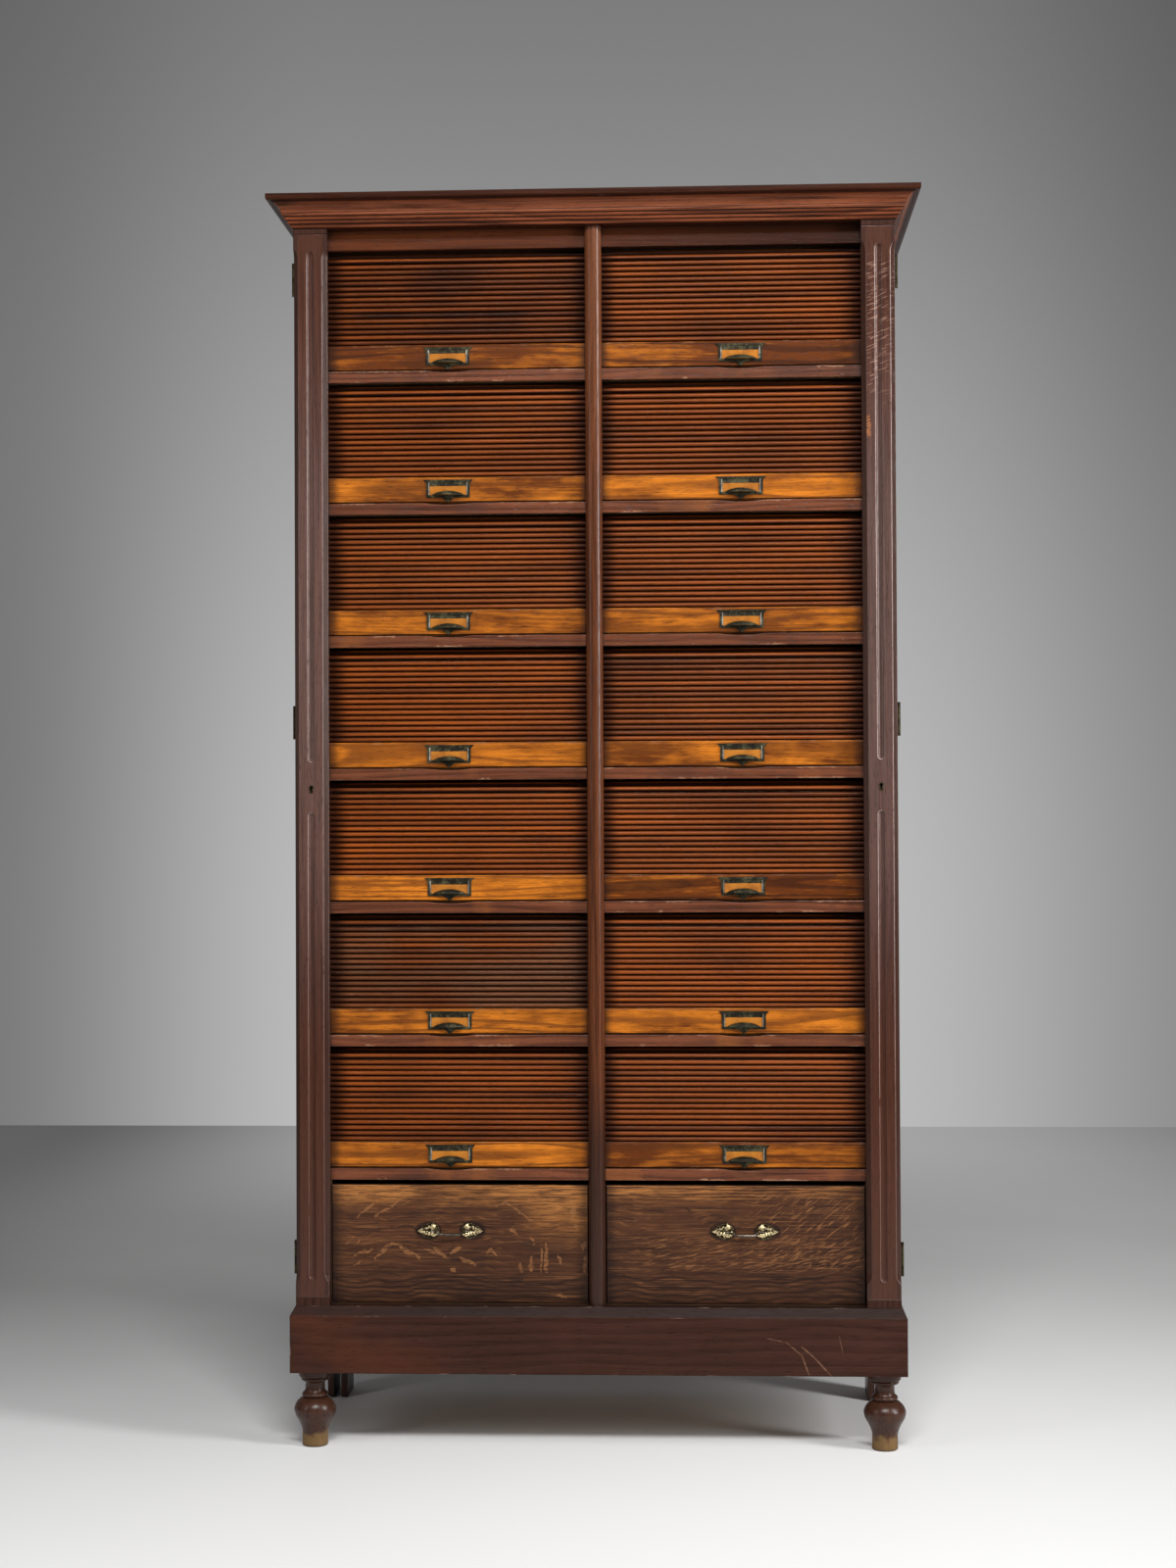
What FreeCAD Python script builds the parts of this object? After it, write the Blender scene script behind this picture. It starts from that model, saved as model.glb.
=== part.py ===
"""Roll-front filing cabinet: an oak carcass with fourteen roll shutters, two drawers and locking pilasters.

Millimetres, +Z up, front towards -Y, origin at the middle of the footprint on the floor.
"""
import FreeCAD, Part
import math
import os
import re

import Sketcher

ROWS = 7                # shutters in each column
STRAIGHT_SLATS = 15     # slats that hang straight when a shutter is closed
BEND_SLATS = 2          # slats that follow the bend at the head of the track
BACK_BOARDS = 5         # boards across the back
KNUCKLES = 5            # knuckles on each hinge
REEDS = 4               # reeds of the crown moulding
TOUCH = 0.001           # distance within which two planes count as one

SIZES = {
    # Carcass
    "carcass_width": 1000, "carcass_depth": 414, "side_thickness": 22, "partition_thickness": 22,
    "back_thickness": 12, "top_thickness": 22, "shelf_thickness": 19,
    "frieze_height": 33, "frieze_thickness": 20, "bead_width": 28, "bead_depth": 16, "bead_quirk": 4,
    "scoop_width": 80, "scoop_depth": 3, "scoop_reach": 10, "board_chamfer": 2,
    "tool_margin": 1,
    # Base
    "foot_height": 128, "plinth_height": 110, "plinth_projection": 9, "plinth_thickness": 30,
    "splay_height": 16, "floor_thickness": 18, "rear_rail_thickness": 24, "block_size": 62,
    "foot_offset": 35, "foot_setback": 45, "bulb_radius": 35, "foot_base_radius": 21.2,
    "neck_radius": 16.3, "ring_radius": 21, "collar_radius": 27, "foot_base_height": 25,
    "step_radius": 23.5, "step_height": 6,
    "bulb_height": 62, "bulb_head": 19, "foot_flare": 5, "foot_shoulder": 16, "ring_height": 7,
    "neck_gap": 4, "collar_height": 20, "foot_edge": 1.5, "leg_width": 36, "leg_depth": 75, "leg_offset": 4,
    "leg_board": 12,
    # Ratios of the foot's curves to the sizes that they join
    "shoulder_curve": 2, "bulb_curve": 0.8, "bulb_head_curve": 0.75, "ring_curve": 0.55, "collar_curve": 2,
    # Crown
    "cornice_projection": 40, "crown_height": 40, "cove_height": 17, "cove_foot": 17, "cove_head": 34,
    "reed_curve": 0.62, "cove_curve": 1.3, "top_board_thickness": 10, "top_nosing": 3,
    # Pilasters
    "pilaster_width": 56, "pilaster_thickness": 21.5, "pilaster_gap": 0.5, "base_height": 13,
    "cap_height": 9, "end_gap": 0.5, "flute_radius": 6.2, "flute_depth": 3.4, "flute_margin": 35,
    "flute_break": 96, "chamfer_size": 8, "chamfer_margin": 42, "stop_radius": 30,
    # Hinges and locks
    "leaf_thickness": 1.6, "leaf_width": 18, "hinge_length": 56, "low_hinge_rise": 63.5,
    "middle_hinge_rise": 109, "top_hinge_drop": 71.5,
    "knuckle_radius": 2.75, "pin_radius": 1.25, "pin_fit": 0.05, "hinge_clearance": 0.3,
    "keyhole_height": 1097, "keyhole_radius": 2.5, "keyhole_slot": 3, "keyhole_drop": 8,
    "escutcheon_rim": 1.2, "lock_width": 48, "lock_depth": 14, "lock_height": 50, "lock_wall": 1.5,
    "bolt_rise": 21, "bolt_height": 6, "bolt_depth": 5, "bolt_length": 22, "bolt_nose": 14,
    "staple_thickness": 2.5, "staple_reach": 12, "staple_rim": 2, "staple_gap": 4.5, "staple_inset": 14,
    # Drawers
    "drawer_opening": 205, "drawer_gap": 1, "drawer_head_gap": 8.5, "front_thickness": 20,
    "drawer_wall": 12, "drawer_bottom": 6, "drawer_inset": 2, "drawer_box_height": 150,
    "drawer_back_gap": 12, "drawer_lift": 0.4, "guide_height": 20, "guide_fit": 0.5,
    "front_edge_round": 2,
    # Drawer handles
    "handle_height": 121, "handle_span": 54, "rosette_length": 38, "rosette_width": 26,
    "rosette_thickness": 2.5, "post_radius": 4.5, "post_reach": 12, "bail_radius": 2,
    "bail_fit": 0.05, "bail_drop": 5, "bail_stand": 7.5, "bail_neck": 1, "leaf_curve": 0.9,
    # Shutters
    "rail_height": 43.5, "rail_thickness": 16, "rail_setback": 3, "rail_lift": 0.4, "rail_round": 2.5,
    "side_clearance": 0.5, "slat_pitch": 9.1, "slat_width": 8.7, "slat_thickness": 7, "slat_flank": 3.8,
    "slat_setback": 5, "slat_engagement": 5, "canvas_thickness": 1, "canvas_margin": 12,
    "groove_depth": 6, "groove_clearance": 0.5, "bend_radius": 13, "track_run": 170,
    "curtain_gap": 0.1, "head_gap": 2.5,
    # Label pulls
    "pull_width": 73, "pull_height": 30, "pull_ear": 5, "pull_drop": 8, "pull_thickness": 1.6, "pull_rise": 2,
    "window_width": 60, "window_height": 22, "cup_width": 56, "cup_reach": 10, "cup_wall": 1.5,
}

# Values that follow from the driving sizes
DERIVED = {
    "back_plane": "(carcass_depth + pilaster_thickness + pilaster_gap + cornice_projection) / 2",
    "carcass_front": "back_plane - carcass_depth",
    "pilaster_back": "carcass_front - pilaster_gap",
    "pilaster_front": "pilaster_back - pilaster_thickness",
    "inner_back": "back_plane - back_thickness",
    "half_width": "carcass_width / 2",
    "side_inner": "half_width - side_thickness",
    "partition_face": "partition_thickness / 2",
    "bay_width": "side_inner - partition_face",
    "bay_centre": "(side_inner + partition_face) / 2",
    "pilaster_inner": "half_width - pilaster_width",
    "plinth_top": "foot_height + plinth_height",
    "plinth_inner": "half_width + plinth_projection - plinth_thickness",
    "curtain_foot": "rail_lift + rail_height + curtain_gap",
    "bend_height": "curtain_foot + %d * slat_pitch" % STRAIGHT_SLATS,
    "row_height": "bend_height + bend_radius + slat_thickness + head_gap",
    "row_pitch": "row_height + shelf_thickness",
    "first_shelf": "plinth_top + drawer_opening",
    "frieze_bottom": "first_shelf + %d * row_pitch" % ROWS,
    "crown_bottom": "frieze_bottom + frieze_height",
    "crown_top": "crown_bottom + crown_height",
    "pilaster_foot": "plinth_top + base_height + end_gap",
    "pilaster_head": "crown_bottom - cap_height - end_gap",
    "row_floor": "first_shelf + shelf_thickness",
    "rail_front": "carcass_front + rail_setback",
    "slat_front": "carcass_front + slat_setback",
    "slat_back": "slat_front + slat_thickness",
    "bend_depth": "slat_back + bend_radius",
    "hinge_axis_x": "half_width + knuckle_radius + hinge_clearance",
    "hinge_axis_y": "carcass_front - pilaster_gap / 2",
    "low_hinge": "pilaster_foot + low_hinge_rise - hinge_length / 2",
    "middle_hinge": "keyhole_height + middle_hinge_rise - hinge_length / 2",
    "top_hinge": "pilaster_head - top_hinge_drop - hinge_length / 2",
    "lock_centre": "half_width - pilaster_width / 2",
    "bolt_axis": "keyhole_height + bolt_rise",
    "staple_x": "half_width - staple_inset",
    "drawer_inner": "bead_width / 2 + drawer_gap",
    "drawer_outer": "pilaster_inner - drawer_gap",
    "drawer_foot": "plinth_top + drawer_lift",
    "drawer_head": "first_shelf - drawer_head_gap",
    "front_back": "carcass_front + front_thickness",
    "handle_z": "plinth_top + handle_height",
    "pivot_y": "carcass_front - rosette_thickness - bail_stand",
    "leaf_root": "handle_span / 2 - rosette_width / 3",
    "leaf_waist": "handle_span / 2 + rosette_width / 6",
    "leaf_tip": "leaf_root + rosette_length",
    "pull_foot": "rail_lift + (rail_height - pull_height) / 2 + pull_rise",
    "window_foot": "(pull_height - window_height) / 2",
    "cup_half": "cup_width / 2",
    "cup_radius": "(cup_half ^ 2 + cup_reach ^ 2) / (2 * cup_reach)",
    "hollow_half": "cup_half - cup_wall",
    "hollow_rise": "cup_reach - cup_wall",
    "hollow_radius": "(hollow_half ^ 2 + hollow_rise ^ 2) / (2 * hollow_rise)",
}

doc = FreeCAD.newDocument("RollFrontCabinet")
sheet = doc.addObject("Spreadsheet::Sheet", "sizes")


def fill_sheet():
    """Write every size, and every value worked out from the sizes, under its alias."""
    row = 1
    for alias, value in SIZES.items():
        sheet.set("A%d" % row, alias)
        sheet.set("B%d" % row, str(value))
        sheet.setAlias("B%d" % row, alias)
        row += 1
    doc.recompute()
    for alias, formula in DERIVED.items():
        sheet.set("A%d" % row, alias)
        sheet.set("B%d" % row, "=" + formula)
        sheet.setAlias("B%d" % row, alias)
        row += 1
        doc.recompute()


fill_sheet()
WORDS = re.compile(r"[A-Za-z_]\w*")


def bound(text):
    """Turn plain size names in a formula into references to the sheet."""
    def refer(match):
        word = match.group(0)
        return "sizes." + word if word in SIZES or word in DERIVED else word
    return WORDS.sub(refer, str(text))


def value(text):
    """The present number of a formula."""
    number = sheet.evalExpression(bound(text))
    return float(getattr(number, "Value", number))


def tie(thing, **formulas):
    """Bind properties of an object to formulas of the sheet."""
    for name, text in formulas.items():
        thing.setExpression(name, bound(text))
    return thing


def place(thing, x=0, y=0, z=0):
    """Bind an object's place to the sheet."""
    for axis, text in zip("xyz", (x, y, z)):
        thing.setExpression("Placement.Base." + axis, bound(text))
    return thing


def turn(thing, axis, angle):
    """Bind an object's rotation about an axis to the sheet."""
    thing.Placement.Rotation = FreeCAD.Rotation(FreeCAD.Vector(*axis), 0)
    for name, part in zip("xyz", axis):
        thing.setExpression("Placement.Rotation.Axis." + name, str(part))
    thing.setExpression("Placement.Rotation.Angle", bound(angle))
    return thing


def box(name, low, high):
    """A block between two corners."""
    block = doc.addObject("Part::Box", name)
    spans = ["(%s) - (%s)" % (b, a) for a, b in zip(low, high)]
    tie(block, Length=spans[0], Width=spans[1], Height=spans[2])
    return place(block, *low)


def rod(name, radius, length, start, axis=(0, 0, 1)):
    """A cylinder from a point along an axis."""
    cylinder = doc.addObject("Part::Cylinder", name)
    tie(cylinder, Radius=radius, Height=length)
    cylinder.Placement.Rotation = FreeCAD.Rotation(FreeCAD.Vector(0, 0, 1), FreeCAD.Vector(*axis))
    return place(cylinder, *start)


def ball(name, radius, centre):
    """A sphere about a point."""
    sphere = doc.addObject("Part::Sphere", name)
    return place(tie(sphere, Radius=radius), *centre)


def group(name, members):
    """Separate solids kept together in one object."""
    bundle = doc.addObject("Part::Compound", name)
    bundle.Links = members
    return bundle


def copy_at(name, source, x=0, y=0, z=0):
    """A copy of an object that follows its source, moved by a formula."""
    return place(group(name, [source]), x, y, z)


def fuse(name, members):
    """Members joined to one solid."""
    joined = doc.addObject("Part::MultiFuse", name)
    joined.Shapes = members
    return joined


def cut(name, base, tools):
    """A base with tools taken away."""
    rest = doc.addObject("Part::Cut", name)
    rest.Base = base
    rest.Tool = tools[0] if len(tools) == 1 else group(name + "_tools", tools)
    return rest


def common(name, first, second):
    """What two solids share."""
    shared = doc.addObject("Part::Common", name)
    shared.Base = first
    shared.Tool = second
    return shared


def mirror(name, source):
    """The same piece on the other side of the middle plane."""
    twin = doc.addObject("Part::Mirroring", name)
    twin.Source = source
    twin.Normal = FreeCAD.Vector(1, 0, 0)
    return twin


def arc_through(start, end, radius):
    """A circular arc between two points; a positive radius bulges to the right of the way."""
    along = end - start
    half = along.Length / 2
    lift = math.sqrt(max(radius * radius - half * half, 0))
    leftward = FreeCAD.Vector(-along.y, along.x, 0).normalize()
    centre = (start + end) / 2 + leftward * math.copysign(lift, radius)
    if radius < 0:
        start, end = end, start
    circle = Part.Circle(centre, FreeCAD.Vector(0, 0, 1), abs(radius))
    return Part.ArcOfCircle(circle, circle.parameter(start), circle.parameter(end))


def outline(sketch, corners, closed=True):
    """Draw an outline; a corner is (x, y), or (x, y, radius) where an arc leads to it."""
    points = [FreeCAD.Vector(value(c[0]), value(c[1]), 0) for c in corners]
    ends = []
    for i in range(0 if closed else 1, len(corners)):
        start, end = points[i - 1], points[i]
        curve = Part.LineSegment(start, end)
        if len(corners[i]) == 3:
            curve = arc_through(start, end, value(corners[i][2]))
        sketch.addGeometry(curve, False)
        forward = curve.StartPoint.distanceToPoint(start) < curve.StartPoint.distanceToPoint(end)
        ends.append((1, 2) if forward else (2, 1))
    count = len(ends)
    for i in range(count if closed else count - 1):
        after = (i + 1) % count
        sketch.addConstraint(Sketcher.Constraint("Coincident", i, ends[i][1], after, ends[after][0]))
    spots = [(i, ends[i][1]) for i in range(count)]
    if not closed:
        spots.insert(0, (0, ends[0][0]))
    for (curve, end), corner in zip(spots, corners):
        for kind, text in zip(("DistanceX", "DistanceY"), corner[:2]):
            fix(sketch, Sketcher.Constraint(kind, -1, 1, curve, end, value(text)), text)
        if len(corner) == 3:
            fix(sketch, Sketcher.Constraint("Radius", curve, abs(value(corner[2]))), "abs(%s)" % corner[2])
    return sketch


def fix(sketch, rule, text):
    """Add a dimension to a sketch and bind it to the sheet."""
    index = sketch.addConstraint(rule)
    sketch.setExpression("Constraints[%d]" % index, bound(text))


def body(name):
    """An empty body."""
    return doc.addObject("PartDesign::Body", name)


def origin(owner, role):
    """A body's own origin plane or axis."""
    return next(f for f in owner.Origin.OriginFeatures if f.Role == role)


def sketch_on(owner, name, role, corners, offset=None, closed=True):
    """An outline on one of a body's origin planes, moved along that plane's normal."""
    sketch = owner.newObject("Sketcher::SketchObject", name)
    sketch.AttachmentSupport = (origin(owner, role), [""])
    sketch.MapMode = "FlatFace"
    if offset is not None:
        sketch.setExpression("AttachmentOffset.Base.z", bound(offset))
    return outline(sketch, corners, closed)


def feature(owner, kind, name, profile, length, reverse=False):
    """A pad or a pocket of an outline."""
    step = owner.newObject("PartDesign::" + kind, name)
    step.Profile = profile
    step.Reversed = reverse
    return tie(step, Length=length)


def revolve(owner, name, profile, axis, angle=360, reverse=False):
    """A body turned from an outline about an axis of its sketch."""
    step = owner.newObject("PartDesign::Revolution", name)
    step.Profile = profile
    step.ReferenceAxis = (profile, [axis])
    step.Angle = angle
    step.Reversed = reverse
    return step


def repeat(owner, name, original, role, length, count):
    """A feature repeated in a row."""
    row = owner.newObject("PartDesign::LinearPattern", name)
    row.Originals = [original]
    row.Direction = (origin(owner, role), [""])
    row.Occurrences = count
    tie(row, Length=length)
    owner.Tip = row
    return row


def rectangle(x0, y0, x1, y1):
    """The corners of an upright rectangle."""
    return [(x0, y0), (x1, y0), (x1, y1), (x0, y1)]


def both_sides(name, right):
    """A right-hand piece and its mirror image, as left and right nodes."""
    right.Label = "right_" + name
    return {"right_" + name: right, "left_" + name: mirror("left_" + name, right)}


def track_outline():
    """The J-shaped groove that the slat ends run in, across the depth and height of the first row."""
    front = "slat_front - groove_clearance"
    back = "slat_back + canvas_thickness + groove_clearance"
    outer = "bend_radius + slat_thickness + groove_clearance"
    inner = "bend_radius - canvas_thickness - groove_clearance"
    knee = "row_floor + bend_height"
    end = "bend_depth + track_run"
    return [(front, "row_floor"), (front, knee), ("bend_depth", knee + " + " + outer, "-(%s)" % outer),
            (end, knee + " + " + outer), (end, knee + " + " + inner), ("bend_depth", knee + " + " + inner),
            (back, knee, inner), (back, "row_floor")]


def leaf_places():
    """The foot of each hinge."""
    return ["low_hinge", "middle_hinge", "top_hinge"]


def side_panel():
    """A carcass side with its shutter tracks and the housings of the hinge leaves and lock staple."""
    panel = body("side_board")
    face = sketch_on(panel, "side_face", "YZ_Plane",
                     rectangle("carcass_front", "plinth_top", "inner_back", "crown_top"), "side_inner")
    feature(panel, "Pad", "side_pad", face, "side_thickness")
    track = sketch_on(panel, "side_track", "YZ_Plane", track_outline(), "side_inner")
    groove = feature(panel, "Pocket", "side_groove", track, "groove_depth", True)
    repeat(panel, "side_grooves", groove, "Z_Axis", "%d * row_pitch" % (ROWS - 1), ROWS)
    housings = [box("leaf_housing_%d" % i, ("half_width - leaf_width", "carcass_front", foot),
                    ("half_width", "carcass_front + leaf_thickness", foot + " + hinge_length"))
                for i, foot in enumerate(leaf_places())]
    housings.append(box("staple_housing", *staple_plate_corners()))
    return both_sides("side_panel", cut("right_side_panel", panel, housings))


def staple_plate_corners():
    """Two corners of the plate that carries the lock staple."""
    low = ("half_width - leaf_width", "carcass_front", "bolt_axis - lock_height / 2")
    high = ("half_width - side_clearance", "carcass_front + leaf_thickness", "bolt_axis + lock_height / 2")
    return low, high


def centre_partition():
    """The upright between the two columns, grooved on both faces."""
    upright = body("centre_partition")
    face = sketch_on(upright, "partition_face_outline", "YZ_Plane",
                     rectangle("carcass_front", "plinth_top", "inner_back", "frieze_bottom"),
                     "-partition_face")
    feature(upright, "Pad", "partition_pad", face, "partition_thickness")
    for name, offset, reverse in (("right", "partition_face", False), ("left", "-partition_face", True)):
        track = sketch_on(upright, name + "_track", "YZ_Plane", track_outline(), offset)
        groove = feature(upright, "Pocket", name + "_groove", track, "groove_depth", reverse)
        repeat(upright, name + "_grooves", groove, "Z_Axis", "%d * row_pitch" % (ROWS - 1), ROWS)
    return {"centre_partition": upright}


def centre_bead():
    """The half-round bead that covers the front edge of the partition."""
    bead = body("centre_bead")
    nose = "carcass_front - bead_depth"
    shoulder = "carcass_front - bead_quirk"
    radius = "((bead_width / 2) ^ 2 + (bead_depth - bead_quirk) ^ 2) / (2 * (bead_depth - bead_quirk))"
    half = "bead_width / 2"
    section = sketch_on(bead, "bead_section", "XY_Plane",
                        [("-" + half, "carcass_front"), ("-" + half, shoulder), ("0", nose, radius),
                         (half, shoulder, radius), (half, "carcass_front")], "plinth_top")
    feature(bead, "Pad", "bead_pad", section, "crown_bottom - plinth_top")
    return {"centre_bead": bead}


def shelves():
    """A shelf under every shutter, with a shallow finger scoop in its front edge."""
    board = box("shelf_board", ("partition_face", "carcass_front", "first_shelf"),
                ("side_inner", "inner_back", "row_floor"))
    radius = "(scoop_width ^ 2 / 4 + scoop_depth ^ 2) / (2 * scoop_depth)"
    scoop = rod("shelf_scoop", radius, "scoop_reach + tool_margin",
                ("bay_centre", "carcass_front - tool_margin", "row_floor - scoop_depth + " + radius),
                (0, 1, 0))
    shelf = cut("shelf", board, [scoop])
    copies = []
    for side, shift in (("right", "0"), ("left", "-2 * bay_centre")):
        for row in range(ROWS):
            name = "%s_shelf_%d" % (side, row + 1)
            copies.append(copy_at(name, shelf, shift, 0, "%d * row_pitch" % row))
    return {"shelves": group("shelves", copies)}


def carcass_boards():
    """The top, the floor, the frieze and the back of the carcass."""
    top = box("carcass_top", ("-side_inner", "carcass_front + frieze_thickness", "frieze_bottom"),
              ("side_inner", "inner_back", "frieze_bottom + top_thickness"))
    frieze = box("frieze_rail", ("-side_inner", "carcass_front", "frieze_bottom"),
                 ("side_inner", "carcass_front + frieze_thickness", "crown_bottom"))
    floor = box("bottom_board", ("-plinth_inner", "pilaster_front - plinth_projection + plinth_thickness",
                                 "plinth_top - floor_thickness"),
                ("plinth_inner", "back_plane - rear_rail_thickness", "plinth_top"))
    board = body("back_board")
    width = "carcass_width / %d" % BACK_BOARDS
    far = "back_plane - board_chamfer"
    near_edge, far_edge = "-half_width", "-half_width + " + width
    section = sketch_on(board, "back_section", "XY_Plane",
                        [(near_edge, "inner_back"), (far_edge, "inner_back"), (far_edge, far),
                         (far_edge + " - board_chamfer", "back_plane"),
                         (near_edge + " + board_chamfer", "back_plane"), (near_edge, far)], "plinth_top")
    feature(board, "Pad", "back_pad", section, "crown_top - plinth_top")
    boards = [copy_at("back_board_%d" % (i + 1), board, "%d * %s" % (i, width)) for i in range(BACK_BOARDS)]
    return {"carcass_top": top, "frieze_rail": frieze, "bottom_board": floor,
            "back_boards": group("back_boards", boards)}


def moulded_length(name, role, section, plan, low, high):
    """A moulding run along one wall and cut to a plan, which mitres its corners."""
    bar = body(name + "_bar")
    feature(bar, "Pad", name + "_run", sketch_on(bar, name + "_section", role, section, low), high)
    cutter = body(name + "_plan")
    feature(cutter, "Pad", name + "_height", sketch_on(cutter, name + "_floor", "XY_Plane", plan),
            "crown_top + top_board_thickness")
    return common(name, bar, cutter)


def mitred_frame(name, front_outline, side_outline, reach, front_inner, side_inner):
    """A front moulding and two side returns with mitred corners."""
    far = "half_width + " + reach
    nose = "pilaster_front - (%s)" % reach
    front_plan = [("-(%s)" % far, nose), (far, nose), ("half_width", "pilaster_front"),
                  (side_inner, front_inner), ("-(%s)" % side_inner, front_inner),
                  ("-half_width", "pilaster_front")]
    side_plan = [(far, nose), (far, "back_plane"), (side_inner, "back_plane"), (side_inner, front_inner),
                 ("half_width", "pilaster_front")]
    front = moulded_length(name + "_front", "YZ_Plane", front_outline, front_plan,
                           "-(%s)" % far, "2 * (%s)" % far)
    right = moulded_length(name + "_return", "XZ_Plane", side_outline, side_plan,
                           "-back_plane", "back_plane - (%s)" % nose)
    return group(name, [front, right, mirror(name + "_left_return", right)])


def crown_steps(sign, start):
    """The reeds and the cove of the crown, from its foot outwards."""
    reed = "(crown_height - cove_height) / %d" % REEDS
    step = "cove_foot / %d" % REEDS
    points = []
    for i in range(1, REEDS + 1):
        across = "%s %s %d * %s" % (start, sign, i, step)
        up = "crown_bottom + %d * %s" % (i, reed)
        points.append((across, up, "reed_curve * sqrt((%s) ^ 2 + (%s) ^ 2)" % (reed, step)))
    points.append(("%s %s cove_head" % (start, sign), "crown_top", "-cove_curve * cove_height"))
    return points


def cornice():
    """The crown moulding and the board that closes the top."""
    front = [("carcass_front", "crown_bottom"), ("pilaster_front", "crown_bottom")]
    front += [(x, y, "-(%s)" % r) for x, y, r in crown_steps("-", "pilaster_front")]
    front += [("carcass_front", "crown_top")]
    side = [("half_width", "crown_bottom")]
    side += crown_steps("+", "half_width")
    side += [("half_width", "crown_top")]
    mouldings = mitred_frame("cornice", front, side, "cornice_projection", "carcass_front", "half_width")
    board = body("top_board")
    edge = "half_width + cornice_projection"
    face = sketch_on(board, "top_face", "XY_Plane",
                     rectangle("-(%s)" % edge, "-back_plane", edge, "back_plane"), "crown_top")
    feature(board, "Pad", "top_pad", face, "top_board_thickness")
    doc.recompute()
    nosing = board.newObject("PartDesign::Fillet", "top_nosing_round")
    nosing.Base = (board.getObject("top_pad"), lower_edges(board.getObject("top_pad").Shape))
    tie(nosing, Radius="top_nosing")
    return {"cornice": mouldings, "top_board": board}


def lower_edges(shape):
    """The names of the front and side edges of the underside of a board."""
    names = []
    for i, edge in enumerate(shape.Edges):
        low = edge.BoundBox.ZMax - shape.BoundBox.ZMin < TOUCH
        if low and shape.BoundBox.YMax - edge.BoundBox.YMin > TOUCH:
            names.append("Edge%d" % (i + 1))
    return names


def plinth():
    """The base frame with its splayed top edge, the corner blocks, the turned feet and the rear legs."""
    splay = "plinth_top - splay_height"
    nose = "pilaster_front - plinth_projection"
    back = nose + " + plinth_thickness"
    front = [(nose, "foot_height"), (back, "foot_height"), (back, "plinth_top"),
             ("pilaster_front", "plinth_top"), (nose, splay)]
    edge = "half_width + plinth_projection"
    side = [("plinth_inner", "foot_height"), (edge, "foot_height"), (edge, splay),
            ("half_width", "plinth_top"), ("plinth_inner", "plinth_top")]
    frame = mitred_frame("plinth_frame", front, side, "plinth_projection", back, "plinth_inner")
    rail = box("plinth_rear_rail", ("-plinth_inner", "back_plane - rear_rail_thickness", "foot_height"),
               ("plinth_inner", "back_plane", "plinth_top"))
    blocks = []
    spots = {"front": back, "rear": "back_plane - rear_rail_thickness - block_size"}
    for name, y in spots.items():
        block = box(name + "_block", ("plinth_inner - block_size", y, "foot_height"),
                    ("plinth_inner", y + " + block_size", "plinth_top - floor_thickness"))
        blocks += [block, mirror(name + "_block_left", block)]
    boards = []
    outsides = {"outer": "half_width + leg_offset", "inner": "half_width + leg_offset - leg_width + leg_board"}
    for name, outside in outsides.items():
        board = box(name + "_leg_board", (outside + " - leg_board", "back_plane - leg_depth", "0"),
                    (outside, "back_plane", "foot_height"))
        boards += [board, mirror(name + "_leg_board_left", board)]
    foot = place(turned_foot(), "half_width + plinth_projection - foot_offset", nose + " + foot_setback")
    return {"plinth": group("plinth", [frame, rail]), "plinth_blocks": group("plinth_blocks", blocks),
            "front_feet": group("front_feet", [foot, mirror("left_foot", foot)]),
            "rear_legs": group("rear_legs", boards)}


def turned_foot():
    """A turned front foot: stepped collar, neck, ring, bulb and a plain base."""
    foot = body("turned_foot")
    ring_foot = "bulb_height + bulb_head"
    ring_head = ring_foot + " + ring_height"
    neck_foot = ring_head + " + neck_gap"
    collar_foot = "foot_height - collar_height"
    step_head = collar_foot + " + step_height"
    shape = [("0", "0"), ("foot_base_radius - foot_edge", "0"), ("foot_base_radius", "foot_edge"),
             ("foot_base_radius", "foot_base_height"),
             ("bulb_radius - foot_flare", "bulb_height - foot_shoulder", "-shoulder_curve * bulb_radius"),
             ("bulb_radius", "bulb_height", "bulb_curve * bulb_radius"),
             ("neck_radius + foot_edge", ring_foot, "bulb_head_curve * bulb_radius"),
             ("ring_radius - foot_edge", ring_foot),
             ("ring_radius - foot_edge", ring_head, "ring_curve * ring_height"),
             ("neck_radius", neck_foot), ("neck_radius", collar_foot + " - neck_gap"),
             ("step_radius - foot_edge", collar_foot, "-collar_curve * neck_gap"),
             ("step_radius - foot_edge", step_head, "ring_curve * step_height"),
             ("collar_radius - foot_edge", step_head), ("collar_radius", step_head + " + foot_edge"),
             ("collar_radius", "foot_height"),
             ("0", "foot_height")]
    section = sketch_on(foot, "foot_section", "XZ_Plane", shape)
    revolve(foot, "foot_turning", section, "V_Axis")
    return foot


def flute(name, low, high):
    """A round-ended flute down the middle of a pilaster."""
    y = "pilaster_front + flute_depth - flute_radius"
    ends = [ball("%s_end_%d" % (name, i), "flute_radius", ("lock_centre", y, z))
            for i, z in enumerate((low, high))]
    shaft = rod(name + "_shaft", "flute_radius", "(%s) - (%s)" % (high, low), ("lock_centre", y, low))
    return fuse(name, [shaft] + ends)


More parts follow.
